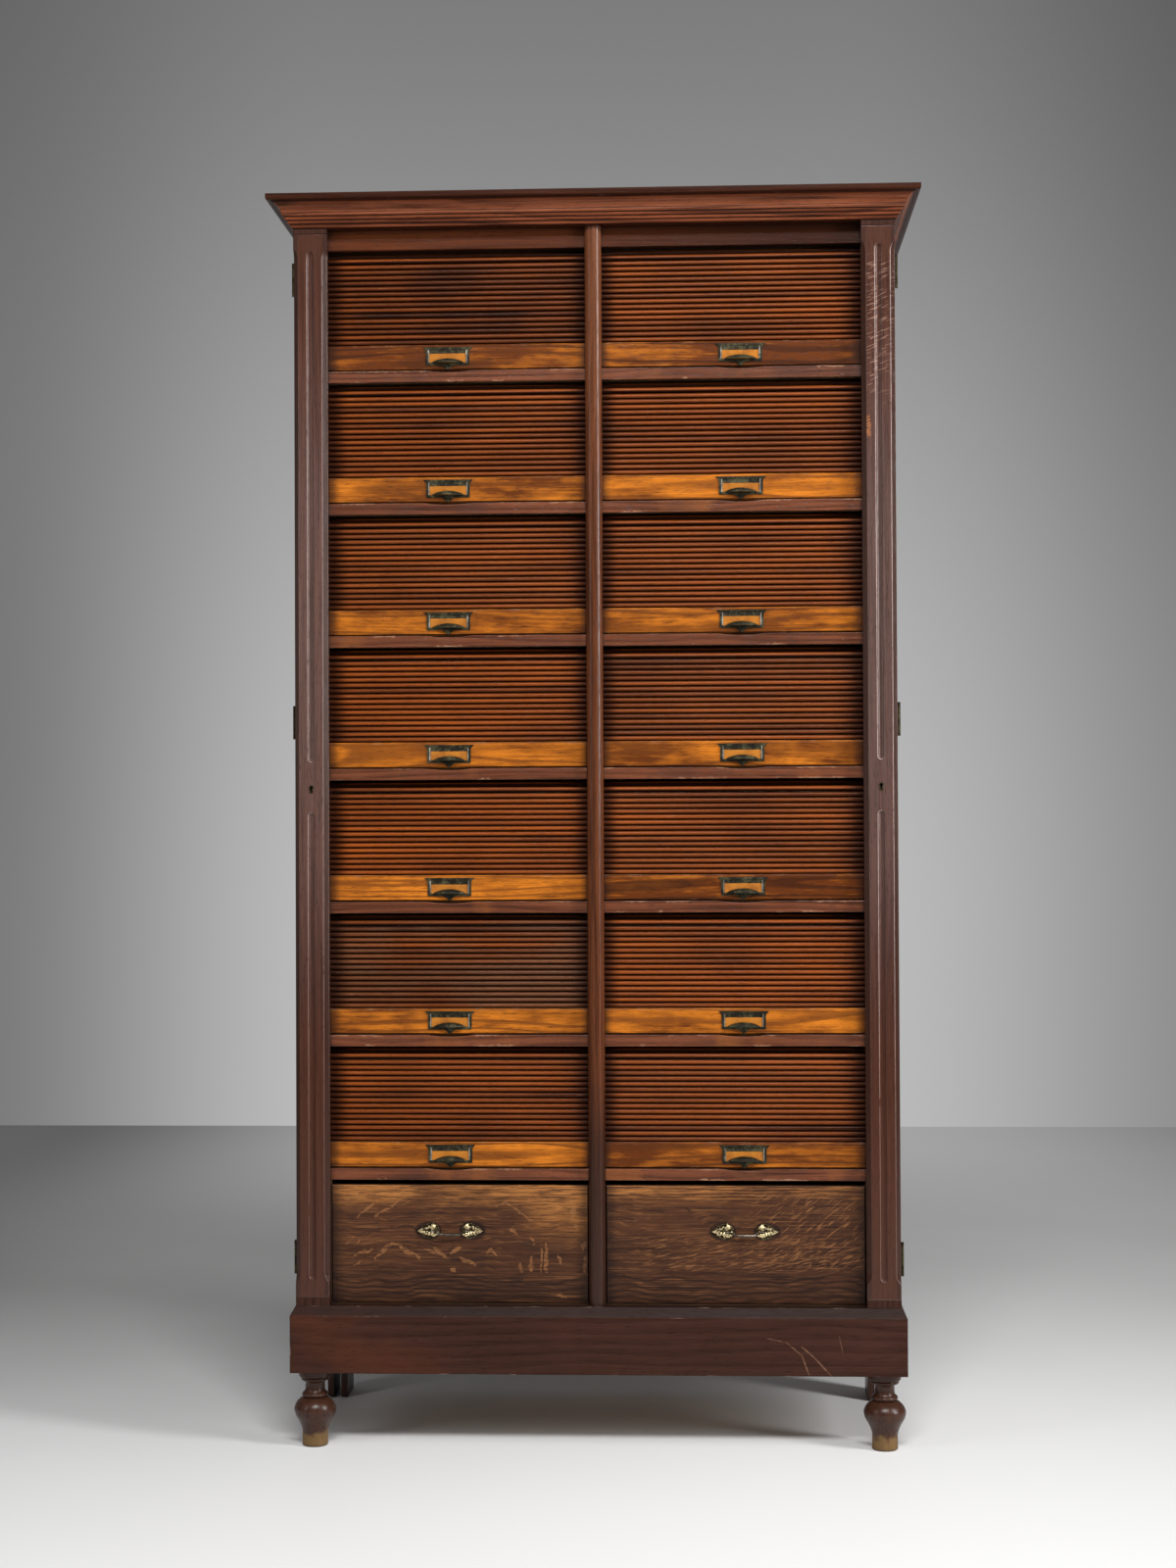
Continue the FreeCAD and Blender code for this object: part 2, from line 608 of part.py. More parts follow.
def stopped_chamfer(name, x, side):
    """The waste of a chamfer along a front edge of a pilaster, with hollow run-outs at its two ends."""
    low, high = "pilaster_foot + chamfer_margin", "pilaster_head - chamfer_margin"
    y = "pilaster_front + chamfer_size - 2 * sqrt(2) * chamfer_size"
    waste = box(name + "_waste", ("0", "0", low), ("2 * chamfer_size", "2 * chamfer_size", high))
    place(turn(waste, (0, 0, 1), 45), x, y, low)
    outward = "(stop_radius - chamfer_size / sqrt(2)) / sqrt(2)"
    span = "2 * chamfer_size / sqrt(2)"
    start_x = "%s + %d * (%s) - %s" % (x, side, outward, span)
    start_y = "pilaster_front - %s - %d * %s" % (outward, side, span)
    stops = [rod("%s_stop_%d" % (name, i), "stop_radius", "4 * chamfer_size",
                 (start_x, start_y, z), (1, side, 0))
             for i, z in enumerate((low, high))]
    return fuse(name, [waste] + stops)


def pilasters():
    """The hinged uprights that lock the shutters and the drawers."""
    plain = box("pilaster_block", ("pilaster_inner", "pilaster_front", "pilaster_foot"),
                ("half_width", "pilaster_back", "pilaster_head"))
    middle = "keyhole_height"
    cuts = [flute("upper_flute", middle + " + flute_break / 2", "pilaster_head - flute_margin"),
            flute("lower_flute", "pilaster_foot + flute_margin", middle + " - flute_break / 2")]
    for name, x, side in (("inner", "pilaster_inner", -1), ("outer", "half_width", 1)):
        cuts.append(stopped_chamfer(name + "_chamfer", x, side))
    cuts.append(rod("keyhole_round", "keyhole_radius", "pilaster_thickness",
                    ("lock_centre", "pilaster_front - tool_margin", middle), (0, 1, 0)))
    cuts.append(box("keyhole_slot_cut", ("lock_centre - keyhole_slot / 2", "pilaster_front - tool_margin",
                                         middle + " - keyhole_drop"),
                    ("lock_centre + keyhole_slot / 2", "pilaster_back - tool_margin", middle)))
    foot, head = lock_span()
    cuts.append(box("lock_mortise", ("lock_centre - lock_width / 2", "pilaster_back - lock_depth", foot),
                    ("lock_centre + lock_width / 2", "pilaster_back", head)))
    for i, foot in enumerate(leaf_places()):
        cuts.append(box("pilaster_leaf_housing_%d" % i,
                        ("half_width - leaf_width", "pilaster_back - leaf_thickness", foot),
                        ("half_width", "pilaster_back", foot + " + hinge_length")))
    return both_sides("pilaster", cut("right_pilaster", plain, cuts))


def hinge_half(name, foot, knuckles, low_y, high_y, bore):
    """A hinge leaf with its share of the knuckles."""
    pitch = "hinge_length / %d" % KNUCKLES
    length = pitch + " - hinge_clearance"
    parts = [box(name + "_plate", ("half_width - leaf_width", low_y, foot),
                 ("half_width", high_y, foot + " + hinge_length"))]
    for i in knuckles:
        z = "%s + %d * %s" % (foot, i, pitch)
        parts.append(box("%s_web_%d" % (name, i), ("half_width", low_y, z),
                         ("hinge_axis_x", high_y, z + " + " + length)))
        parts.append(rod("%s_knuckle_%d" % (name, i), "knuckle_radius", length,
                         ("hinge_axis_x", "hinge_axis_y", z)))
    drill = rod(name + "_bore", bore, "hinge_length", ("hinge_axis_x", "hinge_axis_y", foot))
    return cut(name, fuse(name + "_solid", parts), [drill])


def hinges_and_locks():
    """The hinge leaves, pins, lock cases, bolts and staples."""
    fixed, moving = [], []
    for i, foot in enumerate(leaf_places()):
        fixed.append(hinge_half("fixed_leaf_%d" % i, foot, range(0, KNUCKLES, 2), "carcass_front",
                                "carcass_front + leaf_thickness", "pin_radius"))
        fixed.append(rod("hinge_pin_%d" % i, "pin_radius", "hinge_length",
                         ("hinge_axis_x", "hinge_axis_y", foot)))
        moving.append(hinge_half("moving_leaf_%d" % i, foot, range(1, KNUCKLES, 2),
                                 "pilaster_back - leaf_thickness", "pilaster_back", "pin_radius + pin_fit"))
    tongue_foot = "bolt_axis - bolt_height / 2 - staple_rim - side_clearance"
    tongue_head = "bolt_axis + bolt_height / 2 + staple_rim + side_clearance"
    tongue = box("staple_tongue", ("staple_x", "carcass_front - staple_reach", tongue_foot),
                 ("staple_x + staple_thickness", "carcass_front", tongue_head))
    eye_front = "carcass_front - staple_reach + staple_rim"
    eye = box("staple_eye", ("staple_x", eye_front, tongue_foot + " + staple_rim"),
              ("staple_x + staple_thickness", eye_front + " + bolt_depth + 2 * side_clearance",
               tongue_head + " - staple_rim"))
    plate = box("staple_plate", *staple_plate_corners())
    fixed.append(cut("staple", fuse("staple_solid", [tongue, plate]), [eye]))
    twins = [mirror(piece.Name + "_left", piece) for piece in fixed]
    moving.append(lock_case())
    moving.append(escutcheon())
    fittings = group("right_pilaster_fittings", moving)
    nodes = {"carcass_hinge_leaves": group("carcass_hinge_leaves", fixed + twins)}
    nodes.update(both_sides("pilaster_fittings", fittings))
    nodes.update(both_sides("lock_bolt", lock_bolt()))
    return nodes


def lock_span():
    """The foot and the head of the lock case."""
    head = "bolt_axis + lock_height / 2 - bolt_rise / 2"
    return head + " - lock_height", head


def lock_case():
    """The tray of a lock with two ribs that guide its bolt."""
    foot, head = lock_span()
    near, far = "lock_centre - lock_width / 2", "lock_centre + lock_width / 2"
    front = "pilaster_back - lock_depth"
    outer = box("lock_outer", (near, front, foot), (far, "pilaster_back", head))
    floor = front + " + lock_wall"
    inside = box("lock_inside", (near + " + lock_wall", floor, foot + " + lock_wall"),
                 (far + " - lock_wall", "pilaster_back", head + " - lock_wall"))
    key = rod("lock_keyway", "keyhole_radius", "3 * lock_wall",
              ("lock_centre", front + " - lock_wall", "keyhole_height"), (0, 1, 0))
    parts = [cut("lock_tray", outer, [inside, key])]
    for name, z in (("under", "bolt_axis - bolt_height / 2 - lock_wall - hinge_clearance"),
                    ("over", "bolt_axis + bolt_height / 2 + hinge_clearance")):
        parts.append(box("lock_rib_" + name, (near + " + lock_wall", floor, z),
                         ("staple_x - staple_gap", floor + " + bolt_depth", z + " + lock_wall")))
    return fuse("lock_case", parts)


def lock_bolt():
    """The bolt whose nose slides through the eye of the staple, drawn back at rest."""
    tip = "staple_x - staple_gap"
    low, high = "bolt_axis - bolt_height / 2", "bolt_axis + bolt_height / 2"
    nose_front = "carcass_front - staple_reach + staple_rim + side_clearance"
    nose = box("bolt_nose_bar", (tip + " - bolt_length", nose_front, low),
               (tip, nose_front + " + bolt_depth", high))
    seat = "pilaster_back - lock_depth + lock_wall + hinge_clearance"
    tail = box("bolt_tail", (tip + " - bolt_length", seat, low), (tip + " - bolt_nose", nose_front, high))
    return fuse("right_lock_bolt", [nose, tail])


def escutcheon():
    """A thin rim round the keyhole, standing just proud of the pilaster."""
    y = "pilaster_front - escutcheon_rim"
    before, after = y + " - tool_margin", "pilaster_front + tool_margin"
    near, far = "lock_centre - keyhole_slot / 2", "lock_centre + keyhole_slot / 2"
    foot = "keyhole_height - keyhole_drop"
    ring = rod("escutcheon_ring", "keyhole_radius + escutcheon_rim", "escutcheon_rim",
               ("lock_centre", y, "keyhole_height"), (0, 1, 0))
    drop = box("escutcheon_drop", (near + " - escutcheon_rim", y, foot + " - escutcheon_rim"),
               (far + " + escutcheon_rim", "pilaster_front", "keyhole_height"))
    hole = rod("escutcheon_hole", "keyhole_radius", "escutcheon_rim + 2 * tool_margin",
               ("lock_centre", before, "keyhole_height"), (0, 1, 0))
    slot = box("escutcheon_slot", (near, before, foot), (far, after, "keyhole_height"))
    return cut("escutcheon", fuse("escutcheon_plate", [ring, drop]), [hole, slot])


def pilaster_caps():
    """The fixed blocks over and under the pilasters."""
    base = box("pilaster_base", ("pilaster_inner", "pilaster_front", "plinth_top"),
               ("half_width", "carcass_front", "plinth_top + base_height"))
    cap = box("pilaster_cap", ("pilaster_inner", "pilaster_front", "crown_bottom - cap_height"),
              ("half_width", "carcass_front", "crown_bottom"))
    twins = [mirror("left_base", base), mirror("left_cap", cap)]
    return {"pilaster_caps": group("pilaster_caps", [base, cap] + twins)}


def drawer_guides():
    """The cheeks behind the pilasters and the strips that the drawers run between."""
    cheek = box("drawer_cheek", ("pilaster_inner", "carcass_front", "plinth_top"),
                ("side_inner", "front_back", "first_shelf"))
    start = "front_back + guide_fit"
    outer = box("outer_guide", ("drawer_outer - drawer_inset + guide_fit", start, "plinth_top"),
                ("side_inner", "inner_back", "plinth_top + guide_height"))
    inner = box("inner_guide", ("partition_face", start, "plinth_top"),
                ("drawer_inner + drawer_inset - guide_fit", "inner_back", "plinth_top + guide_height"))
    pieces = [cheek, outer, inner]
    twins = [mirror(piece.Name + "_left", piece) for piece in pieces]
    return {"drawer_guides": group("drawer_guides", pieces + twins)}


def drawers():
    """The drawer fronts, boxes, rosettes and bail handles."""
    front = body("drawer_board")
    face = sketch_on(front, "drawer_face", "XZ_Plane",
                     rectangle("drawer_inner", "drawer_foot", "drawer_outer", "drawer_head"), "-(front_back)")
    feature(front, "Pad", "drawer_pad", face, "front_thickness")
    doc.recompute()
    rounding = front.newObject("PartDesign::Fillet", "drawer_round")
    pad = front.getObject("drawer_pad")
    rounding.Base = (pad, front_edges(pad.Shape))
    tie(rounding, Radius="front_edge_round")
    nodes = both_sides("drawer_front", front)
    left, right = "drawer_inner + drawer_inset", "drawer_outer - drawer_inset"
    far = "inner_back - drawer_back_gap"
    head = "drawer_foot + drawer_box_height"
    walls = [box("drawer_side_a", (left, "front_back", "drawer_foot"), (left + " + drawer_wall", far, head)),
             box("drawer_side_b", (right + " - drawer_wall", "front_back", "drawer_foot"),
                 (right, far, head)),
             box("drawer_back", (left + " + drawer_wall", far + " - drawer_wall", "drawer_foot"),
                 (right + " - drawer_wall", far, head)),
             box("drawer_floor", (left + " + drawer_wall", "front_back", "drawer_foot"),
                 (right + " - drawer_wall", far + " - drawer_wall", "drawer_foot + drawer_bottom"))]
    nodes.update(both_sides("drawer_box", group("right_drawer_box", walls)))
    nodes.update(both_sides("drawer_rosettes", rosettes()))
    nodes.update(both_sides("drawer_bail", bail()))
    return nodes


def front_edges(shape):
    """The names of the four edges round the front face of a board."""
    names = []
    for i, edge in enumerate(shape.Edges):
        if edge.BoundBox.YMax - shape.BoundBox.YMin < TOUCH:
            names.append("Edge%d" % (i + 1))
    return names


def rosettes():
    """Two leaf-shaped plates with posts that carry the bail."""
    plate = body("rosette_plate")
    half = "rosette_width / 2"
    sweep = "leaf_curve * rosette_length"
    leaf = [("leaf_tip", "0", sweep), ("leaf_waist", half, sweep), ("leaf_root", "0", half),
            ("leaf_waist", "-" + half, half)]
    face = sketch_on(plate, "rosette_outline", "XZ_Plane", leaf, "-carcass_front")
    feature(plate, "Pad", "rosette_pad", face, "rosette_thickness")
    place(plate, 0, 0, "handle_z")
    post = rod("handle_post", "post_radius", "post_reach",
               ("handle_span / 2", "carcass_front - rosette_thickness - post_reach", "handle_z"), (0, 1, 0))
    hole = rod("handle_pivot_hole", "bail_radius + bail_fit", "4 * post_radius",
               ("handle_span / 2 - 2 * post_radius", "pivot_y", "handle_z"), (1, 0, 0))
    single = cut("rosette", fuse("rosette_solid", [plate, post]), [hole])
    pair = group("rosette_pair", [single, mirror("rosette_twin", single)])
    return copy_at("right_drawer_rosettes", pair, "bay_centre")


def bail():
    """The swinging handle: a round bar bent down between its two pivots."""
    bar = body("right_drawer_bail")
    reach = "handle_span / 2 + post_radius"
    neck = "handle_span / 2 - post_radius - bail_neck"
    bend = "bail_drop / 2"
    mid, low = "(%s - %s)" % (neck, bend), "(%s - bail_drop)" % neck
    route = [("-(%s)" % reach, "0"), ("-(%s)" % neck, "0"), ("-" + mid, "-" + bend, "-" + bend),
             ("-" + low, "-bail_drop", bend), (low, "-bail_drop"), (mid, "-" + bend, bend),
             (neck, "0", "-" + bend), (reach, "0")]
    path = sketch_on(bar, "bail_path", "XZ_Plane", route, closed=False)
    ring = bar.newObject("Sketcher::SketchObject", "bail_ring")
    ring.AttachmentSupport = (origin(bar, "YZ_Plane"), [""])
    ring.MapMode = "FlatFace"
    ring.setExpression("AttachmentOffset.Base.z", bound("-(%s)" % reach))
    circle = Part.Circle(FreeCAD.Vector(0, 0, 0), FreeCAD.Vector(0, 0, 1), value("bail_radius"))
    ring.addGeometry(circle, False)
    ring.addConstraint(Sketcher.Constraint("Coincident", 0, 3, -1, 1))
    fix(ring, Sketcher.Constraint("Radius", 0, value("bail_radius")), "bail_radius")
    pipe = bar.newObject("PartDesign::AdditivePipe", "bail_pipe")
    pipe.Profile = ring
    pipe.Spine = (path, [])
    return place(bar, "bay_centre", "pivot_y", "handle_z")


def slat_section(owner, name, offset):
    """The section of one slat, its flat back on the canvas line."""
    half = "slat_width / 2"
    crown = "slat_thickness - slat_flank"
    radius = "((slat_width / 2) ^ 2 + (%s) ^ 2) / (2 * (%s))" % (crown, crown)
    return sketch_on(owner, name, "YZ_Plane",
                     [("0", "-" + half), ("0", half), ("-slat_flank", half), ("-slat_thickness", "0", radius),
                      ("-slat_flank", "-" + half, radius)], offset)


def curtain():
    """The roll curtain of one shutter: slats on a canvas backing, straight below and bent at the head."""
    length = "bay_width + 2 * slat_engagement"
    slat = body("slat")
    feature(slat, "Pad", "slat_pad", slat_section(slat, "slat_outline", "-(%s) / 2" % length), length)
    slats = []
    for i in range(STRAIGHT_SLATS):
        rise = "curtain_foot + (%d + 0.5) * slat_pitch" % i
        slats.append(copy_at("slat_%d" % i, slat, 0, "slat_back", rise))
    for i in range(BEND_SLATS):
        angle = "(%d + 0.5) * slat_pitch / bend_radius * 180 / pi" % i
        bent = turn(group("bend_slat_%d" % i, [slat]), (1, 0, 0), "-(%s)" % angle)
        slats.append(place(bent, 0, "bend_depth - bend_radius * cos(%s)" % angle,
                           "bend_height + bend_radius * sin(%s)" % angle))
    tail = turn(group("tail_slat", [slat]), (1, 0, 0), -90)
    slats.append(place(tail, 0, "bend_depth + (%d + 0.5) * slat_pitch - bend_radius * pi / 2" % BEND_SLATS,
                       "bend_height + bend_radius"))
    canvas = body("canvas")
    inner = "bend_radius - canvas_thickness"
    end = "bend_depth + (%d + 1) * slat_pitch - bend_radius * pi / 2" % BEND_SLATS
    strip = [("slat_back", "curtain_foot"), ("slat_back", "bend_height"),
             ("bend_depth", "bend_height + bend_radius", "-bend_radius"), (end, "bend_height + bend_radius"),
             (end, "bend_height + " + inner), ("bend_depth", "bend_height + " + inner),
             ("slat_back + canvas_thickness", "bend_height", inner),
             ("slat_back + canvas_thickness", "curtain_foot")]
    width = "bay_width - 2 * canvas_margin"
    section = sketch_on(canvas, "canvas_outline", "YZ_Plane", strip, "-(%s) / 2" % width)
    feature(canvas, "Pad", "canvas_pad", section, width)
    return group("curtain", slats + [canvas])


def shutter_rail():
    """The bottom rail of a shutter with tongues that run in the tracks."""
    rail = body("rail_board")
    back = "rail_front + rail_thickness"
    half = "bay_width / 2 - side_clearance"
    section = [(back, "0"), (back, "rail_height"), ("rail_front + rail_round", "rail_height"),
               ("rail_front", "rail_height - rail_round", "-rail_round"), ("rail_front", "rail_round"),
               ("rail_front + rail_round", "0", "-rail_round")]
    profile = sketch_on(rail, "rail_section", "YZ_Plane", section, "-(%s)" % half)
    feature(rail, "Pad", "rail_pad", profile, "2 * (%s)" % half)
    tongue = box("rail_tongue", ("-bay_width / 2 - slat_engagement", "slat_front", "0"),
                 ("bay_width / 2 + slat_engagement", "slat_back + canvas_thickness", "rail_height"))
    return fuse("shutter_rail", [rail, tongue])


def label_pull():
    """A label frame with flared ears, a pointed drop and a cup to lift the shutter by."""
    pull = body("label_pull")
    half, neck = "pull_width / 2", "pull_height - pull_ear"
    ear = "(pull_width / 2 + pull_ear)"
    shape = [("-" + half, "0"), ("-pull_drop", "0"), ("0", "-pull_drop"), ("pull_drop", "0"), (half, "0"),
             (half, neck), (ear, "pull_height"), ("-" + ear, "pull_height"), ("-" + half, neck)]
    feature(pull, "Pad", "pull_pad", sketch_on(pull, "pull_outline", "XZ_Plane", shape), "pull_thickness")
    side, head = "window_width / 2", "window_foot + window_height"
    window = [(side, "window_foot"), (side, head), ("-" + side, head), ("-" + side, "window_foot"),
              ("-hollow_half", "window_foot"), ("hollow_half", "window_foot", "-hollow_radius")]
    opening = sketch_on(pull, "window_outline", "XZ_Plane", window, "pull_thickness")
    feature(pull, "Pocket", "pull_window", opening, "pull_thickness")
    return pull


def cup():
    """The hollow half-dome that the fingers lift."""
    shell = body("pull_cup")
    crescent = [("cup_half", "0"), ("0", "cup_reach", "cup_radius"), ("-cup_half", "0", "cup_radius"),
                ("-hollow_half", "0"), ("0", "hollow_rise", "-hollow_radius"),
                ("hollow_half", "0", "-hollow_radius")]
    revolve(shell, "cup_turning", sketch_on(shell, "cup_section", "XZ_Plane", crescent), "H_Axis", 90)
    return place(shell, 0, "-pull_thickness / 2", "window_foot")


def shutters():
    """Fourteen shutters, each a rail with its label pull and a curtain of slats."""
    rail = shutter_rail()
    pull = fuse("pull_with_cup", [label_pull(), cup()])
    roll = curtain()
    nodes = {}
    for side, x in (("left", "-bay_centre"), ("right", "bay_centre")):
        for row in range(ROWS):
            name = "%s_%d" % (side, row + 1)
            floor = "row_floor + %d * row_pitch" % (ROWS - 1 - row)
            wood = copy_at("rail_copy_" + name, rail, x, 0, floor + " + rail_lift")
            brass = copy_at("pull_copy_" + name, pull, x, "rail_front", floor + " + pull_foot")
            nodes["shutter_rail_" + name] = group("shutter_rail_" + name, [wood, brass])
            nodes["shutter_slats_" + name] = copy_at("shutter_slats_" + name, roll, x, 0, floor)
    return nodes


def check(nodes):
    """Stop if any object failed or any piece isn't a sound solid."""
    for thing in doc.Objects:
        if "Invalid" in thing.State or "Error" in thing.State:
            raise RuntimeError("failed: %s %s" % (thing.Name, thing.State))
    for name, thing in nodes.items():
        shape = thing.Shape
        if shape.isNull() or not shape.isValid() or not shape.Solids:
            raise RuntimeError("not a sound solid: " + name)


def main():
    """Build every piece and write one file for each node."""
    nodes = {}
    for make in (side_panel, centre_partition, centre_bead, shelves, carcass_boards, cornice, plinth,
                 pilasters, hinges_and_locks, pilaster_caps, drawer_guides, drawers, shutters):
        nodes.update(make())
    doc.recompute()
    for name, thing in nodes.items():
        thing.Label = name
    check(nodes)
    os.makedirs("parts", exist_ok=True)
    for name, thing in nodes.items():
        thing.Shape.exportStep("parts/%s.step" % name)
    print(len(nodes), "nodes")


main()
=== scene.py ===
"""Roll-front filing cabinet in stained oak: finishes, curtains, rails, pulls, handles, feet and stage."""

import math

import bmesh
import bpy
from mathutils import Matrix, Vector, noise


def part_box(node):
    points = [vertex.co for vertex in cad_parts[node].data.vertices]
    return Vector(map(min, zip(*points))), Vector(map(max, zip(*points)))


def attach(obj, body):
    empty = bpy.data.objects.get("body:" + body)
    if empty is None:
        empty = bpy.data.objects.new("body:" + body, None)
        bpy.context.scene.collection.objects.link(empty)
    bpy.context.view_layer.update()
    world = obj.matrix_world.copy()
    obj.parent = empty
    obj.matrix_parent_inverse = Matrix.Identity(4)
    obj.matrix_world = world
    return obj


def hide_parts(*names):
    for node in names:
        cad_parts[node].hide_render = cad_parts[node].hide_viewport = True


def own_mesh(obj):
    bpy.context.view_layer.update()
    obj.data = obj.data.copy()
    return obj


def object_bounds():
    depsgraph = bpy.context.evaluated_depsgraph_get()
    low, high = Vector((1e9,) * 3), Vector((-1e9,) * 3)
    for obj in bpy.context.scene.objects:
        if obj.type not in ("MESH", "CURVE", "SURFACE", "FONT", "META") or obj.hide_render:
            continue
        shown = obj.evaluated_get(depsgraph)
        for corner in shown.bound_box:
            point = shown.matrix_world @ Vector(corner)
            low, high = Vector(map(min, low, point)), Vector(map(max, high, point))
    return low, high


bl_info = {
    "name": "Roll-front filing cabinet",
    "version": (1, 0, 0),
    "blender": (4, 5, 0),
    "location": "View3D > Sidebar > Cabinet",
    "description": "Dresses the packed filing cabinet in stained oak and aged brass, on a studio stage",
    "category": "Object",
}

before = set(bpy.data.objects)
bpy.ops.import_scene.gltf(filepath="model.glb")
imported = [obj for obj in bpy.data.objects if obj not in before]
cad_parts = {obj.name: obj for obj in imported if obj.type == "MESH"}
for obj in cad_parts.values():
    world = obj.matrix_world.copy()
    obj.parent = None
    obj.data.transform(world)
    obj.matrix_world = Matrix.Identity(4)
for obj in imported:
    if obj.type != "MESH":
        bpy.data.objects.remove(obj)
CAD_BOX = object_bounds()
SIDES = ("left", "right")
SHUTTERS = tuple((side, row) for side in SIDES for row in range(1, 8))

# Slats, canvas and rails of a shutter
STRAIGHT_SLATS, BEND_SLATS, SLAT_STEPS = 15, 2, 18
SLAT_SWAY, SLAT_RISE = 0.00022, 0.00016
CANVAS_GAP = 0.00005
RAIL_STEPS, RAIL_WAVE = 44, 0.00018
TONGUE_GAP, TONGUE_BACK = 0.0005, 0.006

# Where the lowest shelf starts and how far the next is above it, the pilasters' middle and front, one reed
ROW_FOOT, ROW_PITCH = 0.443, 0.222
PILASTER_MIDDLE, PILASTER_FACE = 0.472, (-0.186, -0.191)
REED = 0.00575

# Label pulls: finger cup, plate, backing, card lips, and turned ball and pins as radius and reach
CUP_RISE, CUP_WALL, CUP_STEPS, CUP_TURNS = 0.74, 0.0012, 28, 9
PLATE_EDGE, BACKING, BACKING_LAP = 0.0004, 0.00035, 0.0008
LIP_WIDE, LIP_DEEP, LIP_STEPS = 0.0007, 0.0006, 10
DROP_BALL = ((0.0, -0.0017), (0.0009, -0.0014), (0.0015, -0.0007), (0.0017, 0.0), (0.0015, 0.0007),
             (0.0009, 0.0014), (0.0, 0.0017))
EAR_PIN = ((0.0016, 0.0), (0.0015, 0.0005), (0.0010, 0.0009), (0.0003, 0.0011))

# Rosettes: rings from rim to middle, steps round the rim, and the post as radius and reach
LEAF_RINGS = (1.0, 1.0, 0.96, 0.88, 0.78, 0.67, 0.56, 0.45, 0.34, 0.23, 0.12, 0.03)
LEAF_STEPS = 64
POST_TURNING = ((0.0050, 0.0), (0.0050, 0.0030), (0.0040, 0.0044), (0.0031, 0.0056), (0.0031, 0.0068),
                (0.0034, 0.0080), (0.0034, 0.0100), (0.0033, 0.0118), (0.0028, 0.0128), (0.0018, 0.0134),
                (0.0005, 0.0137))

# Widest turn of a foot, and the studio floor
FOOT_REACH = 0.035
FLOOR_REACH, WALL_LINE, FLOOR_GAP = 9.0, 3.99, 0.0005

# Rays of the left drawer and scratches of the plinth, in millimetres: two ends and a width each
LEFT_RAYS = (
    (43, 143, 70, 165, 2.6), (72, 143, 115, 171, 2.6), (23, 171, 47, 180, 2.0), (274, 161, 290, 169, 2.4),
    (290, 169, 334, 137, 2.2), (37, 80, 68, 89, 3.0), (72, 74, 100, 100, 4.0), (100, 100, 117, 94, 3.0),
    (115, 92, 147, 75, 4.6), (156, 90, 174, 84, 2.4), (172, 92, 193, 74, 4.2), (199, 84, 215, 92, 4.2),
    (215, 76, 240, 63, 4.0), (260, 84, 266, 92, 3.0), (266, 90, 274, 80, 3.0), (35, 61, 51, 69, 2.0),
    (199, 57, 204, 53, 4.0), (299, 124, 309, 116, 4.0), (334, 110, 337, 98, 2.0), (334, 78, 332, 55, 4.6),
    (350, 94, 349, 53, 2.0), (358, 100, 358, 52, 3.8), (404, 157, 401, 143, 5.0), (422, 104, 418, 90, 4.4),
    (423, 78, 421, 53, 4.0), (315, 65, 317, 53, 4.0), (379, 80, 381, 67, 3.0), (406, 131, 410, 122, 3.0),
    (369, 16, 391, 12, 3.0), (23, 98, 35, 110, 1.6), (43, 98, 49, 110, 1.6))
PLINTH_SCRATCHES = (
    (788, 62, 820, 55, 0.9), (820, 55, 845, 34, 1.2), (845, 34, 857, 1, 1.4), (845, 48, 866, 30, 1.6),
    (866, 30, 893, 1, 1.7), (906, 66, 912, 38, 0.7))

# Wear of the rails, and tone and dust of the curtains, from the top row down
HONEY = {"left": (0.12, 0.44, 0.52, 0.66, 0.76, 0.52, 0.46),
         "right": (0.02, 0.74, 0.46, 0.42, 0.0, 0.64, 0.22)}
CURTAIN_TONE = {"left": (-0.35, 0.0, 0.0, 0.25, 0.25, -0.15, 0.0),
                "right": (0.0, 0.05, 0.05, 0.0, 0.1, 0.1, 0.05)}
CURTAIN_DUST = {"left": (0.0, 0.05, 0.1, 0.0, 0.0, 0.55, 0.05),
                "right": (0.0, 0.0, 0.05, 0.1, 0.05, 0.0, 0.1)}


def length(name, description, default):
    """A size in metres that a user may change."""
    return bpy.props.FloatProperty(name=name, description=description, default=default, min=0.0,
                                   precision=4, unit="LENGTH")


def colour(name, description, default):
    """A colour that a user may change."""
    return bpy.props.FloatVectorProperty(name=name, description=description, default=default, size=3,
                                         min=0.0, max=1.0, subtype="COLOR")


def power(name, description, default):
    """The strength of a lamp in watts, which a user may change."""
    return bpy.props.FloatProperty(name=name, description=description, default=default, unit="POWER")


